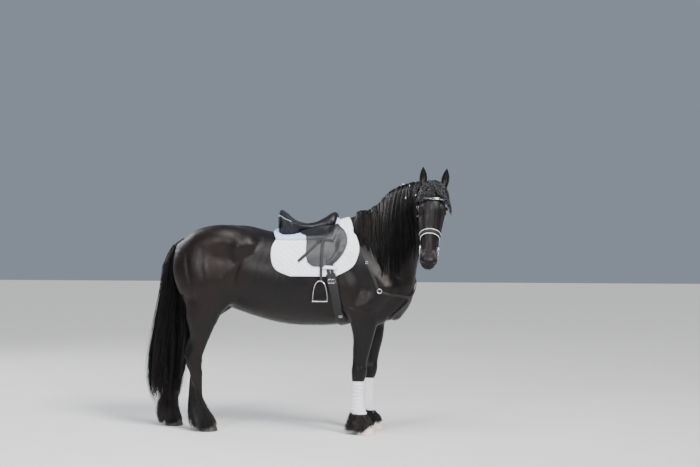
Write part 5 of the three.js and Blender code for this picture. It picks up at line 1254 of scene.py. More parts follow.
def short_fur(name, count, region_wanted, length):
    """Tufts where short hair breaks the form: under the belly, chest and jaw and behind the legs."""
    weight = np.linalg.norm(np.cross(corners[:, 2] - corners[:, 0], corners[:, 3] - corners[:, 1]), axis=1)
    hanging = np.clip(-face_facing[:, 2] - 0.8, 0, 1) * 2
    trailing = np.clip(-face_facing[:, 0] - 0.5, 0, 1) * (face_middles[:, 2] < 880)
    weight = weight * (hanging + 1.6 * trailing) * ((face_regions == "head") == (region_wanted == "head"))
    weight[np.arange(len(weight)) < len(body_quads)] *= head_side(face_middles[:len(body_quads)]) < 0
    chosen = RNG.choice(len(weight), count, p=weight / weight.sum())
    share = RNG.dirichlet(np.ones(4), count)[..., None]
    root, normal = (corners[chosen] * share).sum(1), face_facing[chosen]
    way = lie_of_coat(root, normal, face_regions[chosen])
    steps = np.linspace(0, 1, 4)[None, :, None]
    long = (length * RNG.uniform(0.6, 1.3, count))[:, None, None]
    path = root[:, None] - normal[:, None] * 0.6 + way[:, None] * long * steps
    path = path + normal[:, None] * 2.4 * steps**0.9
    facing = np.repeat(normal[:, None], 4, 1)
    uv = bake_uvs(root, normal, face_regions[chosen])
    hair_piece(name, path, 1.1 * taper(4) * RNG.uniform(0.6, 1.2, (count, 1)), facing, uv, FUR)


short_fur("fur_body", count=9000, region_wanted="body", length=12)
short_fur("fur_head", count=1800, region_wanted="head", length=8)
for name, side in SIDES:
    for end in ("fore", "hind"):
        feathers(end, name, side, FEATHER_COUNT[end], clumps=64, steps=9)
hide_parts(*SKIN_NODES)


# ---- Sheets and straps that lie on the flesh
def resampled(rows, count, loop=False):
    """Rows read off a smooth curve through them at even steps of their number."""
    rows = np.asarray(rows, float)
    n = len(rows)
    place = np.linspace(0, n if loop else n - 1, count, endpoint=not loop)
    i = np.minimum(place.astype(int), n - (1 if loop else 2))
    t = (place - i).reshape(-1, *([1] * (rows.ndim - 1)))
    at = lambda k: rows[k % n] if loop else rows[np.clip(k, 0, n - 1)]
    a, b, d, e = at(i - 1), at(i), at(i + 1), at(i + 2)
    bend = (2 * a - 5 * b + 4 * d - e) * t * t + (3 * b - a - 3 * d + e) * t**3
    return b + 0.5 * ((d - a) * t + bend)


def laid(field, grid, lift):
    """A grid of points moved onto the flesh and then out by a lift, and its normals there."""
    shape = grid.shape
    lifts = np.broadcast_to(lift, shape[:2]).reshape(-1)
    points, _ = snapped(field, grid.reshape(-1, 3), 0.0)
    points, normals = snapped(field, points, 0.0)
    return (points + normals * lifts[:, None]).reshape(shape), normals.reshape(shape)


def lengths_along(grid, axis):
    steps = np.linalg.norm(np.diff(grid, axis=axis), axis=2).mean(1 - axis)
    return np.concatenate([[0], np.cumsum(steps)])


def slab(name, inner, normals, thick, finish, loop=False, edge_uv=True):
    """A closed sheet from its inner face: thick along the normals, with a map of its sizes in metres."""
    rows, columns = inner.shape[:2]
    outer = inner + normals * np.broadcast_to(thick, (rows, columns))[..., None]
    verts = np.concatenate([inner.reshape(-1, 3), outer.reshape(-1, 3)])
    r, c = np.meshgrid(np.arange(rows if loop else rows - 1), np.arange(columns - 1), indexing="ij")
    a, d = r * columns + c, (r + 1) % rows * columns + c
    under = np.stack([a, a + 1, d + 1, d], -1).reshape(-1, 4)
    half = rows * columns
    faces = [under, under[:, ::-1] + half]
    along = np.arange(rows if loop else rows - 1)
    for edge, flip in ((0, True), (columns - 1, False)):
        p, q = along * columns + edge, (along + 1) % rows * columns + edge
        wall = np.stack([p, q, q + half, p + half], 1)
        faces.append(wall[:, ::-1] if flip else wall)
    if not loop:
        over = np.arange(columns - 1)
        for edge, flip in ((0, False), ((rows - 1) * columns, True)):
            p = over + edge
            wall = np.stack([p, p + 1, p + 1 + half, p + half], 1)
            faces.append(wall[:, ::-1] if flip else wall)
    u, v = lengths_along(inner, 0) / 1000, lengths_along(inner, 1) / 1000
    uv = np.stack(np.meshgrid(u, v, indexing="ij"), -1)
    if edge_uv:
        from_edge = np.minimum(uv[..., 1], v[-1] - uv[..., 1])
        if not loop:
            from_edge = np.minimum(from_edge, np.minimum(uv[..., 0], u[-1] - uv[..., 0]))
        uv[..., 1] = from_edge
    uv = np.tile(uv.reshape(-1, 2), (2, 1))
    return add_mesh(name, verts, faces, finish, {"Work": uv})


def joined(name, *pieces):
    """One object out of several of the same finish."""
    bpy.ops.object.select_all(action="DESELECT")
    for piece in pieces:
        piece.select_set(True)
    bpy.context.view_layer.objects.active = pieces[0]
    bpy.ops.object.join()
    pieces[0].name = name
    return pieces[0]


def centre_line(field, points, count, loop=False):
    """A smooth line on the flesh, the ways out of it and the ways along."""
    line = resampled(np.array(points, float), count, loop)
    line, normals = snapped(field, line, 0.0)
    along = (np.roll(line, -1, 0) - np.roll(line, 1, 0)) if loop else np.gradient(line, axis=0)
    return line, normals, unit(along)


def band(name, field, points, width, lift, thick, finish=LEATHER, count=60, loop=False, columns=9, crown=0.0):
    """A strap through points near the flesh, its edges rounded and its middle raised by crown."""
    line, normals, along = centre_line(field, points, count, loop)
    across = unit(np.cross(along, normals))
    share = np.sin(np.linspace(-np.pi / 2, np.pi / 2, columns)) / 2
    wide = np.broadcast_to(width, count)
    grid = line[:, None] + across[:, None] * (wide[:, None] * share)[..., None]
    lifts = np.broadcast_to(np.reshape(lift, (-1, 1)), (count, columns))
    inner, normals = laid(field, grid, lifts)
    edge = np.abs(2 * share)
    rounded = np.sqrt(np.clip(1 - 0.88 * edge**6, 0, 1)) + crown * (1 - edge**2)
    thickness = np.reshape(thick, (-1, 1)) * np.broadcast_to(rounded, (count, columns))
    return slab(name, inner, normals, thickness, finish, loop)


def tube_mesh(name, path, radius, finish, sides=10, loop=False, flat=1.0, facing=(0.13, 0.21, 0.97)):
    """A rod along a path, thicker or thinner by flat in the way that it faces."""
    path = np.array(path, float)
    n = len(path)
    along = unit((np.roll(path, -1, 0) - np.roll(path, 1, 0)) if loop else np.gradient(path, axis=0))
    across = unit(np.cross(along, np.broadcast_to(facing, (n, 3))))
    rise = np.cross(across, along)
    turn = 2 * np.pi * np.arange(sides) / sides
    radius = np.broadcast_to(radius, n)[:, None, None]
    ring = across[:, None] * np.cos(turn)[None, :, None] + rise[:, None] * np.sin(turn)[None, :, None] * flat
    verts = (path[:, None] + ring * radius).reshape(-1, 3)
    if loop:
        k, last = np.arange(sides), (n - 1) * sides
        caps = [np.stack([last + k, last + (k + 1) % sides, (k + 1) % sides, k], 1)]
    else:
        verts = np.concatenate([verts, path[[0, -1]]])
        caps = end_caps(n, sides)
    uv = np.stack([np.repeat(np.linspace(0, 0.2, n), sides), np.full(n * sides, 0.01)], 1)
    uv = np.concatenate([uv, np.full((len(verts) - len(uv), 2), 0.01)])
    return add_mesh(name, verts, [ring_quads(n, sides), *caps], finish, {"Work": uv})


def frame_at(field, point, lift, heading):
    """A place over the flesh with the ways out of it, along a heading and across."""
    at, out = snapped(field, np.array([point], float), 0.0)
    at, out = at + out * lift, out[0]
    along = unit(np.array(heading, float) - out * np.dot(heading, out))
    return at[0], out, along, np.cross(out, along)


def buckle(name, field, point, heading, width, height, lift, rod=1.7):
    """A rounded frame with its tongue, flat on the strap."""
    at, out, along, across = frame_at(field, point, lift, heading)
    turn = np.linspace(0, 2 * np.pi, 28, endpoint=False)
    square = lambda v: np.sign(v) * np.abs(v) ** 0.45
    ring = at + across * (square(np.cos(turn)) * width / 2)[:, None]
    ring = ring + along * (square(np.sin(turn)) * height / 2)[:, None]
    tongue = at + along * np.linspace(-0.5, 0.5, 6)[:, None] * height + out * 1.5
    joined(name, tube_mesh(name, ring, rod, STEEL, 8, True, facing=out),
           tube_mesh(name + "_tongue", tongue, rod * 0.8, STEEL, 8, facing=across))


PAD_SWEEP, PAD_AXIS = 87.5, 1200
PAD_REAR = [[0, -45], [0.3, -70], [0.55, -97], [0.8, -80], [0.93, -28], [1, 60]]
PAD_FRONT = [[0, 470], [0.25, 540], [0.5, 576], [0.75, 548], [0.9, 478], [1, 400]]


def on_back(x, share, side):
    """Points on the back at x, a share of the way from the topline down to the pad's lower edge."""
    turn = np.radians(PAD_SWEEP * np.asarray(share, float))
    x = np.asarray(x, float)
    start = np.stack([x, 0 * x, 0 * x + PAD_AXIS], 1)
    way = np.stack([0 * x, side * np.sin(turn), np.cos(turn)], 1)
    return ray_end(trunk_flesh, start, way)


def rounded_edge(pairs):
    return resampled(np.array(pairs, float), 24)


def over_back(rear, front, lowest, rows, columns, many_rows, many_columns):
    """A grid over both sides of the back, from the edges given by share of the sweep."""
    rear, front = rounded_edge(rear), rounded_edge(front)
    grid = []
    for r in range(-rows, rows + 1):
        share = lowest * abs(r) / rows
        x = np.linspace(curve_at(rear, share), curve_at(front, share), columns)
        grid.append(on_back(x, np.full(columns, share), LEFT if r < 0 else RIGHT))
    fine = resampled(np.array(grid), many_rows)
    return resampled(fine.transpose(1, 0, 2), many_columns).transpose(1, 0, 2)


def edge_distance(grid):
    """How far each point of a grid is from its nearest edge."""
    u, v = lengths_along(grid, 0), lengths_along(grid, 1)
    du, dv = np.minimum(u, u[-1] - u), np.minimum(v, v[-1] - v)
    return np.minimum(du[:, None], dv[None])


pad_grid = over_back(PAD_REAR, PAD_FRONT, lowest=1, rows=13, columns=12, many_rows=193, many_columns=104)
pad_in, pad_out = laid(trunk_flesh, pad_grid, 4.0)
u, v = (lengths_along(pad_in, axis) / 1000 / QUILT * np.pi for axis in (0, 1))
u, v = np.meshgrid(u, v, indexing="ij")
puff = np.sqrt(np.abs(np.sin(u + v) * np.sin(u - v)))
edge = edge_distance(pad_in)
rim = np.exp(-(((edge - 6) / 5.5) ** 2))
pad_thick = (2.6 + 5.6 * puff * np.clip((edge - 8) / 8, 0, 1) + 3.2 * rim) * np.clip(edge / 4 + 0.35, 0.35, 1)
saddle_pad = slab("quilted_pad", pad_in, pad_out, pad_thick, QUILTED, edge_uv=False)
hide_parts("saddle_pad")

HALF_REAR, HALF_FRONT = [[0, -100], [0.2, -106], [0.38, -70]], [[0, 396], [0.2, 414], [0.38, 372]]
HALF_PAD_ROWS, HALF_PAD_CHANNELS = 97, 9
half_grid = over_back(
    HALF_REAR, HALF_FRONT, lowest=0.38, rows=8, columns=9, many_rows=HALF_PAD_ROWS, many_columns=73)
half_in, half_out = laid(trunk_flesh, half_grid, 13.0)
edge = edge_distance(half_in)
roll = np.sqrt(np.clip(1 - (1 - np.clip(edge / 22, 0, 1)) ** 2, 0, 1))
channels = np.arange(HALF_PAD_ROWS) / (HALF_PAD_ROWS - 1) * np.pi * HALF_PAD_CHANNELS
channels = np.abs(np.sin(channels))[:, None] ** 0.4
half_thick = 3 + 15 * roll * (0.84 + 0.16 * channels)
half_pad = slab("half_pad_roll", half_in, half_out, half_thick, FLEECE, edge_uv=False)
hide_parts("half_pad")

# x, half width, then the height of the middle and of the edge
SEAT_ROWS = [
    [-78, 60, 1690, 1660], [-66, 130, 1722, 1668], [-38, 178, 1706, 1672], [0, 188, 1662, 1650],
    [60, 176, 1630, 1626], [130, 142, 1618, 1606], [210, 104, 1630, 1604], [280, 92, 1664, 1622],
    [330, 92, 1696, 1640], [362, 84, 1704, 1652], [380, 60, 1690, 1656],
]
SEAT_LIFT, SEAT_STEPS, TOP_POINTS, UNDER_POINTS = 37, 61, 33, 19
seat_rows = resampled(SEAT_ROWS, SEAT_STEPS)
top_share = np.sin(np.linspace(-np.pi / 2, np.pi / 2, TOP_POINTS))
under_share = np.linspace(1, -1, UNDER_POINTS + 2)[1:-1]
crown = np.abs(top_share) ** 2.2
roll_over = np.sqrt(np.clip(1 - np.abs(top_share) ** 12, 0, 1))
seat_verts = []
for x, wide, middle, edge_z in seat_rows:
    z = middle + (edge_z - middle) * crown - 7 * (1 - roll_over)
    dip = 5 * np.exp(-((top_share / 0.16) ** 2))
    dip = dip * np.clip((x + 40) / 60, 0, 1) * np.clip((300 - x) / 80, 0, 1)
    top = np.stack([np.full(TOP_POINTS, x), wide * top_share, z - dip], 1)
    way = np.stack([np.zeros(UNDER_POINTS), wide * under_share, np.full(UNDER_POINTS, 340.0)], 1)
    under = ray_end(trunk_flesh, np.tile([x, 0, PAD_AXIS], (UNDER_POINTS, 1)), way)
    seat_verts.append(np.concatenate([top, laid(trunk_flesh, under[None], SEAT_LIFT)[0][0]]))
seat_verts = np.array(seat_verts)
ring = seat_verts.shape[1]
last = (SEAT_STEPS - 1) * ring
ends = [np.array([[0, i + 1, i] for i in range(1, ring - 1)]),
        np.array([[last, last + i, last + i + 1] for i in range(1, ring - 1)])]
seat_uv = np.stack(np.meshgrid(seat_rows[:, 0] / 1000, np.full(ring, 0.02), indexing="ij"), -1)
seat = add_mesh("seat", seat_verts.reshape(-1, 3), [ring_quads(SEAT_STEPS, ring), *ends], PLAIN_LEATHER,
                {"Work": seat_uv.reshape(-1, 2)})
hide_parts("saddle_seat")
cantle = np.concatenate([seat_verts[2:26:3, 2][::-1], seat_verts[1, 2:31:3], seat_verts[2:26:3, 30]])
tube_mesh("cantle_piping", resampled(cantle, 70) + [0, 0, 3.0], 3.2, GREY_PIPING, 8)
for y in (-1, 1):
    seam = seat_verts[4:52, 16 + 7 * y] + [0, 0, 1.2]
    tube_mesh(f"seat_seam_{'right' if y < 0 else 'left'}", seam, 1.6, PLAIN_LEATHER, 8)

# Flap and skirt: share of the sweep down the side, then x of the rear and the front edge
FLAP_ROWS = [
    [0.12, 150, 400], [0.2, 150, 438], [0.3, 158, 474], [0.41, 168, 484], [0.52, 172, 470], [0.62, 176, 442],
    [0.72, 183, 408], [0.79, 198, 376], [0.84, 236, 330],
]
SKIRT_ROWS = [[0.13, 70, 380], [0.2, 86, 386], [0.27, 118, 376], [0.33, 160, 346], [0.375, 214, 310]]
PAD_TOP, HALF_PAD_BASE = 15.5, 13


def over_pads(share, x):
    """How far leather lies over the flesh where it rests on the pads."""
    in_x = np.minimum(x - curve_at(HALF_REAR, share) + 8, curve_at(HALF_FRONT, share) + 8 - x) / 24
    in_share = (0.40 - share) / 0.05
    inside = np.clip(np.minimum(in_x, in_share), 0, 1)
    return PAD_TOP + (HALF_PAD_BASE + 20.5 - PAD_TOP) * np.sqrt(1 - (1 - inside) ** 2)


def flap_grid(rows, side, many_rows, many_columns):
    """A grid over the side of the back between two edges, and how high the pads lie under it."""
    rough = []
    for share, rear, ahead in resampled(rows, 16):
        x, shares = np.linspace(rear, ahead, 9), np.full(9, share)
        rough.append(np.concatenate([on_back(x, shares, side), np.stack([shares, x], 1)], 1))
    fine = resampled(np.array(rough), many_rows).transpose(1, 0, 2)
    fine = resampled(fine, many_columns).transpose(1, 0, 2)
    return fine[..., :3], over_pads(fine[..., 3], fine[..., 4])


for name, side in SIDES:
    grid, lift = flap_grid(FLAP_ROWS, side, 84, 50)
    inner, normals = laid(trunk_flesh, grid, lift)
    r, c = np.meshgrid(np.linspace(0, 1, 84), np.linspace(0, 1, 50), indexing="ij")
    knee_roll = 13 * np.exp(-(((c - 0.84) / 0.09) ** 2)) * np.clip((r - 0.3) / 0.12, 0, 1)
    knee_roll = knee_roll * np.clip((0.88 - r) / 0.12, 0, 1)
    corner = np.clip(edge_distance(inner) / 3, 0.25, 1)
    flap = slab(f"leather_flap_{name}", inner, normals, (5 + knee_roll) * corner, FLAP_LEATHER)
    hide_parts(f"flap_{name}")
    grid, lift = flap_grid(SKIRT_ROWS, side, 30, 40)
    inner, normals = laid(trunk_flesh, grid, lift + 6)
    corner = np.clip(edge_distance(inner) / 3, 0.3, 1)
    slab(f"skirt_{name}", inner, normals, 4 * corner, PLAIN_LEATHER)

GIRTH_SIDE = [(356, 1298), (366, 1230), (388, 1120), (408, 1000), (424, 900)]


def on_flank(places, side):
    """Points on the side of the body, given as x and z."""
    places = np.array(places, float)
    start = np.stack([places[:, 0], 0 * places[:, 0], places[:, 1]], 1)
    return ray_end(trunk_flesh, start, np.tile([0, side, 0.0], (len(places), 1)))


girth_low = GIRTH_SIDE[1:]
under = ray_end(trunk_flesh, [432, 0, 1000], np.array([[0, 60, -1000.0], [0, -60, -1000.0]]))
girth_line = np.concatenate([on_flank(girth_low, LEFT), under, on_flank(girth_low[::-1], RIGHT)])
girth_lift = np.interp(np.linspace(0, 1, 120), [0, 0.1, 0.2, 0.8, 0.9, 1], [14, 13, 4, 4, 13, 14])
girth = band("girth_body", trunk_flesh, girth_line, 76, girth_lift, 6.0, count=120, columns=13, crown=0.35)
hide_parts("girth")
for name, side in SIDES:
    for number, dx in enumerate((-15, 15)):
        line = [(x + dx, z) for x, z in [(352, 1330), (356, 1290), (362, 1250), (370, 1205)]]
        lift = 17 if number else 17.5
        band(f"billet_{name}_{number}", trunk_flesh, on_flank(line, side), 25, lift, 4, count=24)
        at = on_flank([(374 + dx, 1176)], side)[0]
        buckle(f"girth_buckle_{name}_{number}", trunk_flesh, at, (-0.2, 0, 1), 27, 30, 24.5, 1.8)
    ring_at = on_flank([(424, 912)], side)[0]
    buckle(f"girth_ring_{name}", trunk_flesh, ring_at, (-0.1, 0, 1), 24, 22, 15, 2.2)
    keeper_line = on_flank([(300, 1279), (322, 1278), (360, 1276), (398, 1273), (420, 1272)], side)
    bridge = np.interp(np.linspace(0, 1, 40), [0, 0.14, 0.3, 0.72, 0.88, 1], [13, 15, 25, 25, 15, 13])
    keeper = band(f"web_{name}", trunk_flesh, keeper_line, 23, bridge, 2.6, WEBBING, 40)
    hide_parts(f"keeper_{name}")

LEATHER_X = 293
IRON = {"eye": 1178, "tread": 1026, "half": 56, "depth": 21}
BOW = [[0, 152], [22, 146], [38, 124], [48, 92], [54, 56], [56, 24], [56, 2]]
for name, side in SIDES:
    line = on_flank([(LEATHER_X, z) for z in (1496, 1448, 1400, 1320, 1250, 1210, 1168)], side)
    s = np.linspace(0, 1, 70)
    wide = np.interp(s, [0, 0.08, 0.2, 0.6, 0.74, 1], [38.5, 36, 22.5, 21.5, 20, 17])
    thick = np.interp(s, [0, 0.84, 0.93, 1], [6, 6, 12, 13])
    strap = band(f"leather_{name}", trunk_flesh, line, wide, np.full(70, 24.0), thick, count=70)
    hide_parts(f"stirrup_leather_{name}")
    for hole in range(5):
        at = on_flank([(LEATHER_X, 1372 - 26 * hole)], side)[0]
        place_at, out, up, over = frame_at(trunk_flesh, at, 28.4, (0, 0, 1))
        rim = circle(place_at, up, over, 2.2, 10)
        tube_mesh(f"hole_{name}_{hole}", rim, 0.7, PLAIN_LEATHER, 6, True, facing=out)
    tail_line = on_flank([(284, 1484), (238, 1432), (178, 1374), (118, 1320)], side)
    tail_lift = np.interp(np.linspace(0, 1, 50), [0, 0.12, 0.24, 0.6, 0.76, 1], [38, 32, 22, 21.5, 17, 15])
    tail_wide = np.interp(np.linspace(0, 1, 50), [0, 0.93, 1], [23, 23, 7])
    end = band(f"leather_tail_{name}", trunk_flesh, tail_line, tail_wide, tail_lift, 3.5, count=50)
    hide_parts(f"leather_end_{name}")
    y = on_flank([(LEATHER_X, IRON["eye"])], side)[0][1] + side * 31
    half_bow = BOW[1:][::-1]
    bow = np.array([[LEATHER_X - x, y, IRON["tread"] + z] for x, z in half_bow]
                   + [[LEATHER_X + x, y, IRON["tread"] + z] for x, z in BOW])
    bow = resampled(bow, 61)
    thick = 4.1 + 1.6 * np.abs(np.linspace(-1, 1, 61)) ** 3
    rod = tube_mesh(f"bow_{name}", bow, thick, STEEL, 12, facing=[0, side * 1.0, 0], flat=1.35)
    tread_x = np.linspace(-IRON["half"] - 4, IRON["half"] + 4, 25)
    tread = np.stack([LEATHER_X + tread_x, np.full(25, y), np.full(25, IRON["tread"] - 1.0)], 1)
    plate = tube_mesh(f"tread_{name}", tread, IRON["depth"] - 1.0, STEEL, 20, flat=0.28, facing=[0, 0, 1.0])
    iron = joined(f"iron_{name}", rod, plate)
    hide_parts(f"stirrup_{name}")
    ribs = []
    for i, x in enumerate(np.linspace(-46, 46, 12)):
        rib = [[LEATHER_X + x, y + d, IRON["tread"] + 5.0] for d in np.linspace(-14, 14, 5)]
        ribs.append(tube_mesh(f"rib_{name}_{i}", rib, 1.8, PLAIN_LEATHER, 6))
    joined(f"tread_pad_{name}", *ribs)

CHEST_POINT = (905, -52, 1056)
BREAST_SIDE = {
    RIGHT: [(612, -300, 1436), (648, -300, 1330), (694, -300, 1205), (742, -300, 1098), (845, -200, 1072),
            CHEST_POINT],
    LEFT: [(612, 300, 1436), (700, 300, 1400), (810, 200, 1340), (890, 120, 1260), (960, 40, 1160),
           CHEST_POINT],
}
UNDER_PATH = [
    (900, -52, 1036), (830, -60, 962), (745, -60, 905), (655, -42, 858), (560, -15, 832), (482, 0, 822),
]


def on_trunk(points):
    return settled(trunk_flesh, np.array(points, float), 0.0)


for name, side in SIDES:
    line = on_trunk(BREAST_SIDE[side])
    strap = band(f"breastplate_{name}", trunk_flesh, line, 23, 4, 4, count=90, crown=0.3)
    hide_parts(f"breast_strap_{name}")
    buckle_at = on_trunk([BREAST_SIDE[side][1]])[0]
    buckle(f"breast_buckle_{name}", trunk_flesh, buckle_at, (0.3, 0, -1), 21, 15, 9.5, 1.1)
strap = band("breastplate_lower", trunk_flesh, on_trunk(UNDER_PATH), 26, 4, 4, count=90, crown=0.3)
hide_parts("breast_under_strap")
at, out, along, over = frame_at(trunk_flesh, on_trunk([BREAST_SIDE[RIGHT][3]])[0], 12.0, (1, 0, 0))
breast_ring = tube_mesh("breastplate_ring", circle(at, along, over, 17, 32), 3, STEEL, 10, True, facing=out)
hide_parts("breast_ring")

# Small steel beads clasped in the mane: share along the crest, then down the fall
MANE_BEADS = [(0.62, 0.095), (0.77, 0.13), (0.72, 0.24), (0.95, 0.23)]
BEAD_LIFT, BEAD_LENGTH = 25, 15
BEAD_SWELL = np.array([3.0, 4.6, 4.2, 6.0, 6.8, 6.0, 4.2, 4.6, 3.0])
beads = []
for number, (along_crest, down_fall) in enumerate(MANE_BEADS):
    row, step = round(along_crest * (len(mane_guides) - 1)), round(down_fall * (mane_guides.shape[1] - 1))
    heading = unit(mane_guides[row, step + 1] - mane_guides[row, step - 1])
    normal = mane_normals[row, step]
    middle = mane_guides[row, step] + normal * BEAD_LIFT
    axis = middle + heading * np.linspace(-0.5, 0.5, 9)[:, None] * BEAD_LENGTH
    beads.append(tube_mesh(f"bead_{number}", axis, BEAD_SWELL, STEEL, 14, facing=normal))
joined("mane_beads", *beads)


# ---- Bridle
RAY_REACH = 100


def head_axis(z):
    """Points on the head's axis at given heights."""
    z = np.asarray(z, float)
    return on_head(np.stack([np.full(len(z), HEAD_AXIS_X), 0 * z, z], 1))


def around_head(height_at, degrees):
    """Points where rays from the head's axis leave it, at a height given for each turn."""
    turn = np.radians(np.array(degrees, float))
    z = np.array([height_at(d) for d in degrees])
    start = head_axis(z)
    end = on_head(np.stack([HEAD_AXIS_X + RAY_REACH * np.cos(turn), RAY_REACH * np.sin(turn), z], 1))
    return ray_end(head_flesh, start, end - start)


noseband_at = lambda degrees: -404 + 50 * math.cos(math.radians(degrees))
nose_line = around_head(noseband_at, np.arange(0, 360, 15))
noseband = band("padded_noseband", head_flesh, nose_line, 34, 2.5, 4.5, count=96, loop=True, crown=0.5)
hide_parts("noseband")
for number, edge in enumerate((16.5, -16.5)):
    piping_at = lambda degrees: noseband_at(degrees) + edge / 0.92
    line = laid(head_flesh, around_head(piping_at, np.arange(0, 360, 10))[None], 5.5)[0][0]
    tube_mesh(f"noseband_piping_{number}", line, 2.6, PIPING, 8, True)


def browband_at(degrees):
    return -108 + 22 * math.cos(math.radians(degrees)) - 7 * math.exp(-((degrees / 18) ** 2))


brow_turns = np.linspace(-96, 96, 25)
brow_line = around_head(browband_at, brow_turns)
brow_lift = np.interp(np.linspace(-1, 1, 60), [-1, 0, 1], [4, 8, 4])
browband = band("jewelled_browband", head_flesh, brow_line, 22, brow_lift, 4, count=60, crown=0.2)
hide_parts("browband")
for row in (-1, 1):
    stones = []
    row_at = lambda degrees: browband_at(degrees) + row * 4.2
    for degrees in np.linspace(-62, 62, 33):
        spot = around_head(row_at, [degrees])
        lift = np.interp(abs(degrees), [0, 96], [13.5, 9.5])
        at, out, along, over = frame_at(head_flesh, spot[0], lift, (0, 0, 1))
        ring = lambda r, h, n, o: [at + out * h + (along * math.cos(a) + over * math.sin(a)) * r
                                   for a in (2 * math.pi * (i + o) / n for i in range(n))]
        points = ring(3.1, -1.5, 8, 0) + ring(3.1, 0.2, 8, 0) + ring(1.7, 1.9, 8, 0)
        stones.append((points, len(stones) * 24))
    verts = np.array([p for points, _ in stones for p in points])
    quads = np.concatenate([ring_quads(3, 8) + start for _, start in stones])
    caps = np.concatenate([[[start + 16 + i for i in range(8)]] for _, start in stones])
    uv = np.full((len(verts), 2), 0.01)
    name = f"browband_stones_{'lower' if row < 0 else 'upper'}"
    add_mesh(name, verts, [quads, caps], STEEL, {"Work": uv}, smooth=False)


def cheek_line(places, side):
    """Where rays from the head's axis towards given places leave one side of the head."""
    places = np.array(places, float)
    start = head_axis(places[:, 2])
    return ray_end(head_flesh, start, on_head(places * [1, side, 1]) - start)


DOWN_HEAD, MOUTH_CORNER_Z = head_way([0, 0, -1]), -494
for name, side in SIDES:
    line = cheek_line([[-104, 96, -124], [-108, 98, -190], [-104, 84, -290], [-100, 74, -352]], side)
    strap = band(f"cheek_strap_{name}", head_flesh, line, 17, 5, 4, count=50)
    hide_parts(f"cheekpiece_{name}")
    buckle_at = cheek_line([[-107, 96, -215]], side)[0]
    buckle(f"cheek_buckle_{name}", head_flesh, buckle_at, DOWN_HEAD, 23, 20, 10.5)
    line = cheek_line([[-98, 72, -412], [-98, 68, -436], [-98, 66, -460]], side)
    strap = band(f"hanger_{name}", head_flesh, line, 15, 5, 4, count=20)
    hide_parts(f"bit_hanger_{name}")
    start = head_axis([MOUTH_CORNER_Z])
    beside = on_head([[HEAD_AXIS_X, side * 90, MOUTH_CORNER_Z]])
    corner_at = ray_end(head_flesh, start, beside - start)[0]
    centre = settled(head_flesh, corner_at, 10.0)
    out, down = head_way([0, 1, 0]), head_way([0, 0, 1])
    over = np.cross(out, down)
    bit = tube_mesh(f"bit_{name}", circle(centre, down, over, 36, 48), 3.8, STEEL, 12, True, facing=out)
    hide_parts(f"bit_ring_{name}")
HEADPIECE = [(-94, 96, -62), (-90, 92, -10), (-88, 50, 50), (-88, 0, 60)]
start = on_head([[-78, 0, -60]])
crown_line = ray_end(head_flesh, start, on_head(to_other_side(HEADPIECE)) - start)
headpiece = band("crown_strap", head_flesh, crown_line, 26, 5, 4.5, count=60, crown=0.3)
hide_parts("headpiece")


# ---- Leg wraps, hooves and eyes
WRAP_TOP, WRAP_FOOT, WRAP_TURN = 408, 153, 27.0
for name, side in SIDES:
    cannon = flesh_of([downward(fore_placed(FORE_CANNON, side), 16)])
    heights = np.linspace(WRAP_TOP, WRAP_FOOT, 104)
    rows = np.array(fore_placed(FORE_CANNON, side))[::-1]
    turns = np.linspace(0, 2 * np.pi, 49)
    z, turn = np.meshgrid(heights, turns, indexing="ij")
    slope = 24 * turn / (2 * np.pi)
    centre = np.stack([np.interp(z, rows[:, 2], rows[:, i]) for i in (0, 1)] + [z], -1)
    way = np.stack([np.cos(turn), np.sin(turn) * side, 0 * z], -1)
    hit = ray_end(cannon, centre.reshape(-1, 3), way.reshape(-1, 3), 120, 8).reshape(z.shape + (3,))
    normals = outward(cannon, hit)
    stage = (WRAP_TOP - z + slope) / WRAP_TURN
    step_down = stage - np.floor(stage)
    folds = np.sin(z / 4.2 + 2.6 * np.sin(turn * 2 + z / 31)) * np.sin(turn * 2 + z / 23 + side)
    rolled = 6.0 + 3.4 * (1 - step_down) + 1.3 * folds
    ends = np.sqrt(np.clip(np.minimum(WRAP_TOP - z, z - WRAP_FOOT) / 4, 0.04, 1))
    wrap = slab(f"polo_{name}", hit + normals * 0.4, normals, rolled * ends, WRAP_CLOTH, edge_uv=False)
    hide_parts(f"wrap_{name}")

# Height, then how far the wall reaches in front, behind and to the sides
HOOF_RINGS = [
    [0, 74, 64, 64], [1.5, 76, 66, 66], [10, 78, 68, 68], [40, 68, 65, 63], [66, 58, 62, 58],
    [74, 54, 59, 55], [78, 48, 52, 48],
]
HOOF_STEPS, HOOF_COLUMNS = 34, 56
for (end, side), (x, y) in HOOF_AT.items():
    rings = resampled(HOOF_RINGS, HOOF_STEPS)
    turn = 2 * np.pi * np.arange(HOOF_COLUMNS) / HOOF_COLUMNS
    verts = []
    for z, front, back, wide in rings:
        reach = np.where(np.cos(turn) > 0, front, back) - 5 * np.exp(-(((turn - np.pi) / 0.3) ** 2))
        height = np.full(HOOF_COLUMNS, max(z, 0.0))
        verts.append(np.stack([x + np.cos(turn) * reach, y + np.sin(turn) * wide, height], 1))
    verts = np.concatenate(verts + [[[x, y, 0.0]], [[x, y, 78.0]]])
    faces = [ring_quads(HOOF_STEPS, HOOF_COLUMNS), *end_caps(HOOF_STEPS, HOOF_COLUMNS)]
    name = "right" if side == RIGHT else "left"
    hoof = add_mesh(f"horn_{end}_{name}", verts, faces, PALE_HORN if end == "fore" else DARK_HORN)
    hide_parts(f"{end}_hoof_{name}")

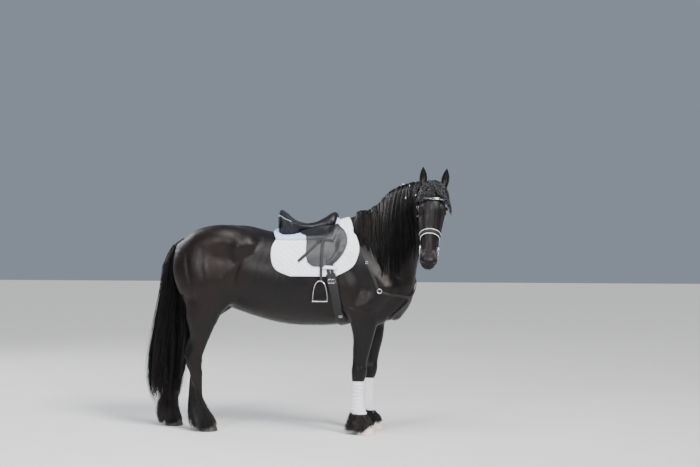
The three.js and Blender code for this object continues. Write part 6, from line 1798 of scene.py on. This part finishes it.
for name, side in SIDES:
    centre, out, up, along = EYES[side]
    tilt, turn = np.radians(np.linspace(2, 178, 45)), 2 * np.pi * np.arange(48) / 48
    tilt, turn = np.meshgrid(tilt, turn, indexing="ij")
    bulge = EYE_RADIUS + 0.9 * np.exp(-((tilt / 0.6) ** 2))
    aside = along * np.cos(turn)[..., None] + up * np.sin(turn)[..., None]
    ray = out * np.cos(tilt)[..., None] + aside * np.sin(tilt)[..., None]
    verts = (centre + ray * bulge[..., None]).reshape(-1, 3)
    uv = np.stack([(ray @ along).reshape(-1), (ray @ up).reshape(-1)], 1)
    ball = add_mesh(f"eyeball_{name}", verts, [ring_quads(45, 48, True)], EYE, {"Work": uv})
    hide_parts(f"eye_{name}")


# ---- Camera, floor and light
PHOTO = (700, 467)
FOCAL_PX = 1406
VIEW_TURN, HORIZON_ROW, ORIGIN_COLUMN = math.radians(11), 228, 290
EYE_POINT = place(np.array([[2098.9, -10797.9, 1580.0]]))[0]
camera_data = bpy.data.cameras.new("camera")
camera_data.sensor_width = 36
camera_data.lens = FOCAL_PX / PHOTO[0] * 36
camera_data.clip_end = 100
camera = bpy.data.objects.new("camera", camera_data)
bpy.context.collection.objects.link(camera)
ahead = np.array([-math.sin(VIEW_TURN), math.cos(VIEW_TURN), 0])
across = np.array([ahead[1], -ahead[0], 0])
pan = math.atan((ORIGIN_COLUMN - PHOTO[0] / 2) / FOCAL_PX)
ahead = ahead * math.cos(pan) - across * math.sin(pan)
pitch = math.atan((PHOTO[1] / 2 - HORIZON_ROW) / FOCAL_PX)
look = Vector((*(ahead[:2] * math.cos(pitch)), -math.sin(pitch)))
camera.location = EYE_POINT
camera.rotation_euler = look.to_track_quat("-Z", "Y").to_euler()
bpy.context.scene.camera = camera


bpy.ops.mesh.primitive_plane_add(size=60, location=(0, 0, 0))
ground = bpy.context.object
ground.name = "ground"
ground.data.materials.append(floor_material())

world = bpy.data.worlds.new("studio")
world.use_nodes = True
world.node_tree.nodes["Background"].inputs[0].default_value = (0.66, 0.76, 0.92, 1)
world.node_tree.nodes["Background"].inputs[1].default_value = 0.36
bpy.context.scene.world = world


def soft_light(kind, name, location, target, size, power, colour=(1, 1, 1)):
    data = bpy.data.lights.new(name, kind)
    data.energy, data.color = power, colour
    if kind == "SUN":
        data.angle = size
    else:
        data.shape, data.size = "SQUARE", size
    lamp = bpy.data.objects.new(name, data)
    bpy.context.collection.objects.link(lamp)
    lamp.location = location
    lamp.rotation_euler = (Vector(target) - Vector(location)).to_track_quat("-Z", "Y").to_euler()


soft_light("SUN", "key", (5.0, -4.6, 6.2), (0, 0, 1), 0.30, 3.5, (1, 0.965, 0.92))
soft_light("AREA", "over", (0.2, -2.2, 6.0), (0, 0, 1.2), 3.2, 330)
soft_light("AREA", "side", (-2.6, -6.4, 3.7), (-0.5, -0.3, 1.2), 1.2, 240)
soft_light("AREA", "face", (3.2, -6.0, 4.5), (1.15, -0.5, 1.6), 0.7, 210)
soft_light("AREA", "rear", (-6, 4.0, 4.5), (0, 0, 1.3), 3, 260, (0.95, 0.97, 1))
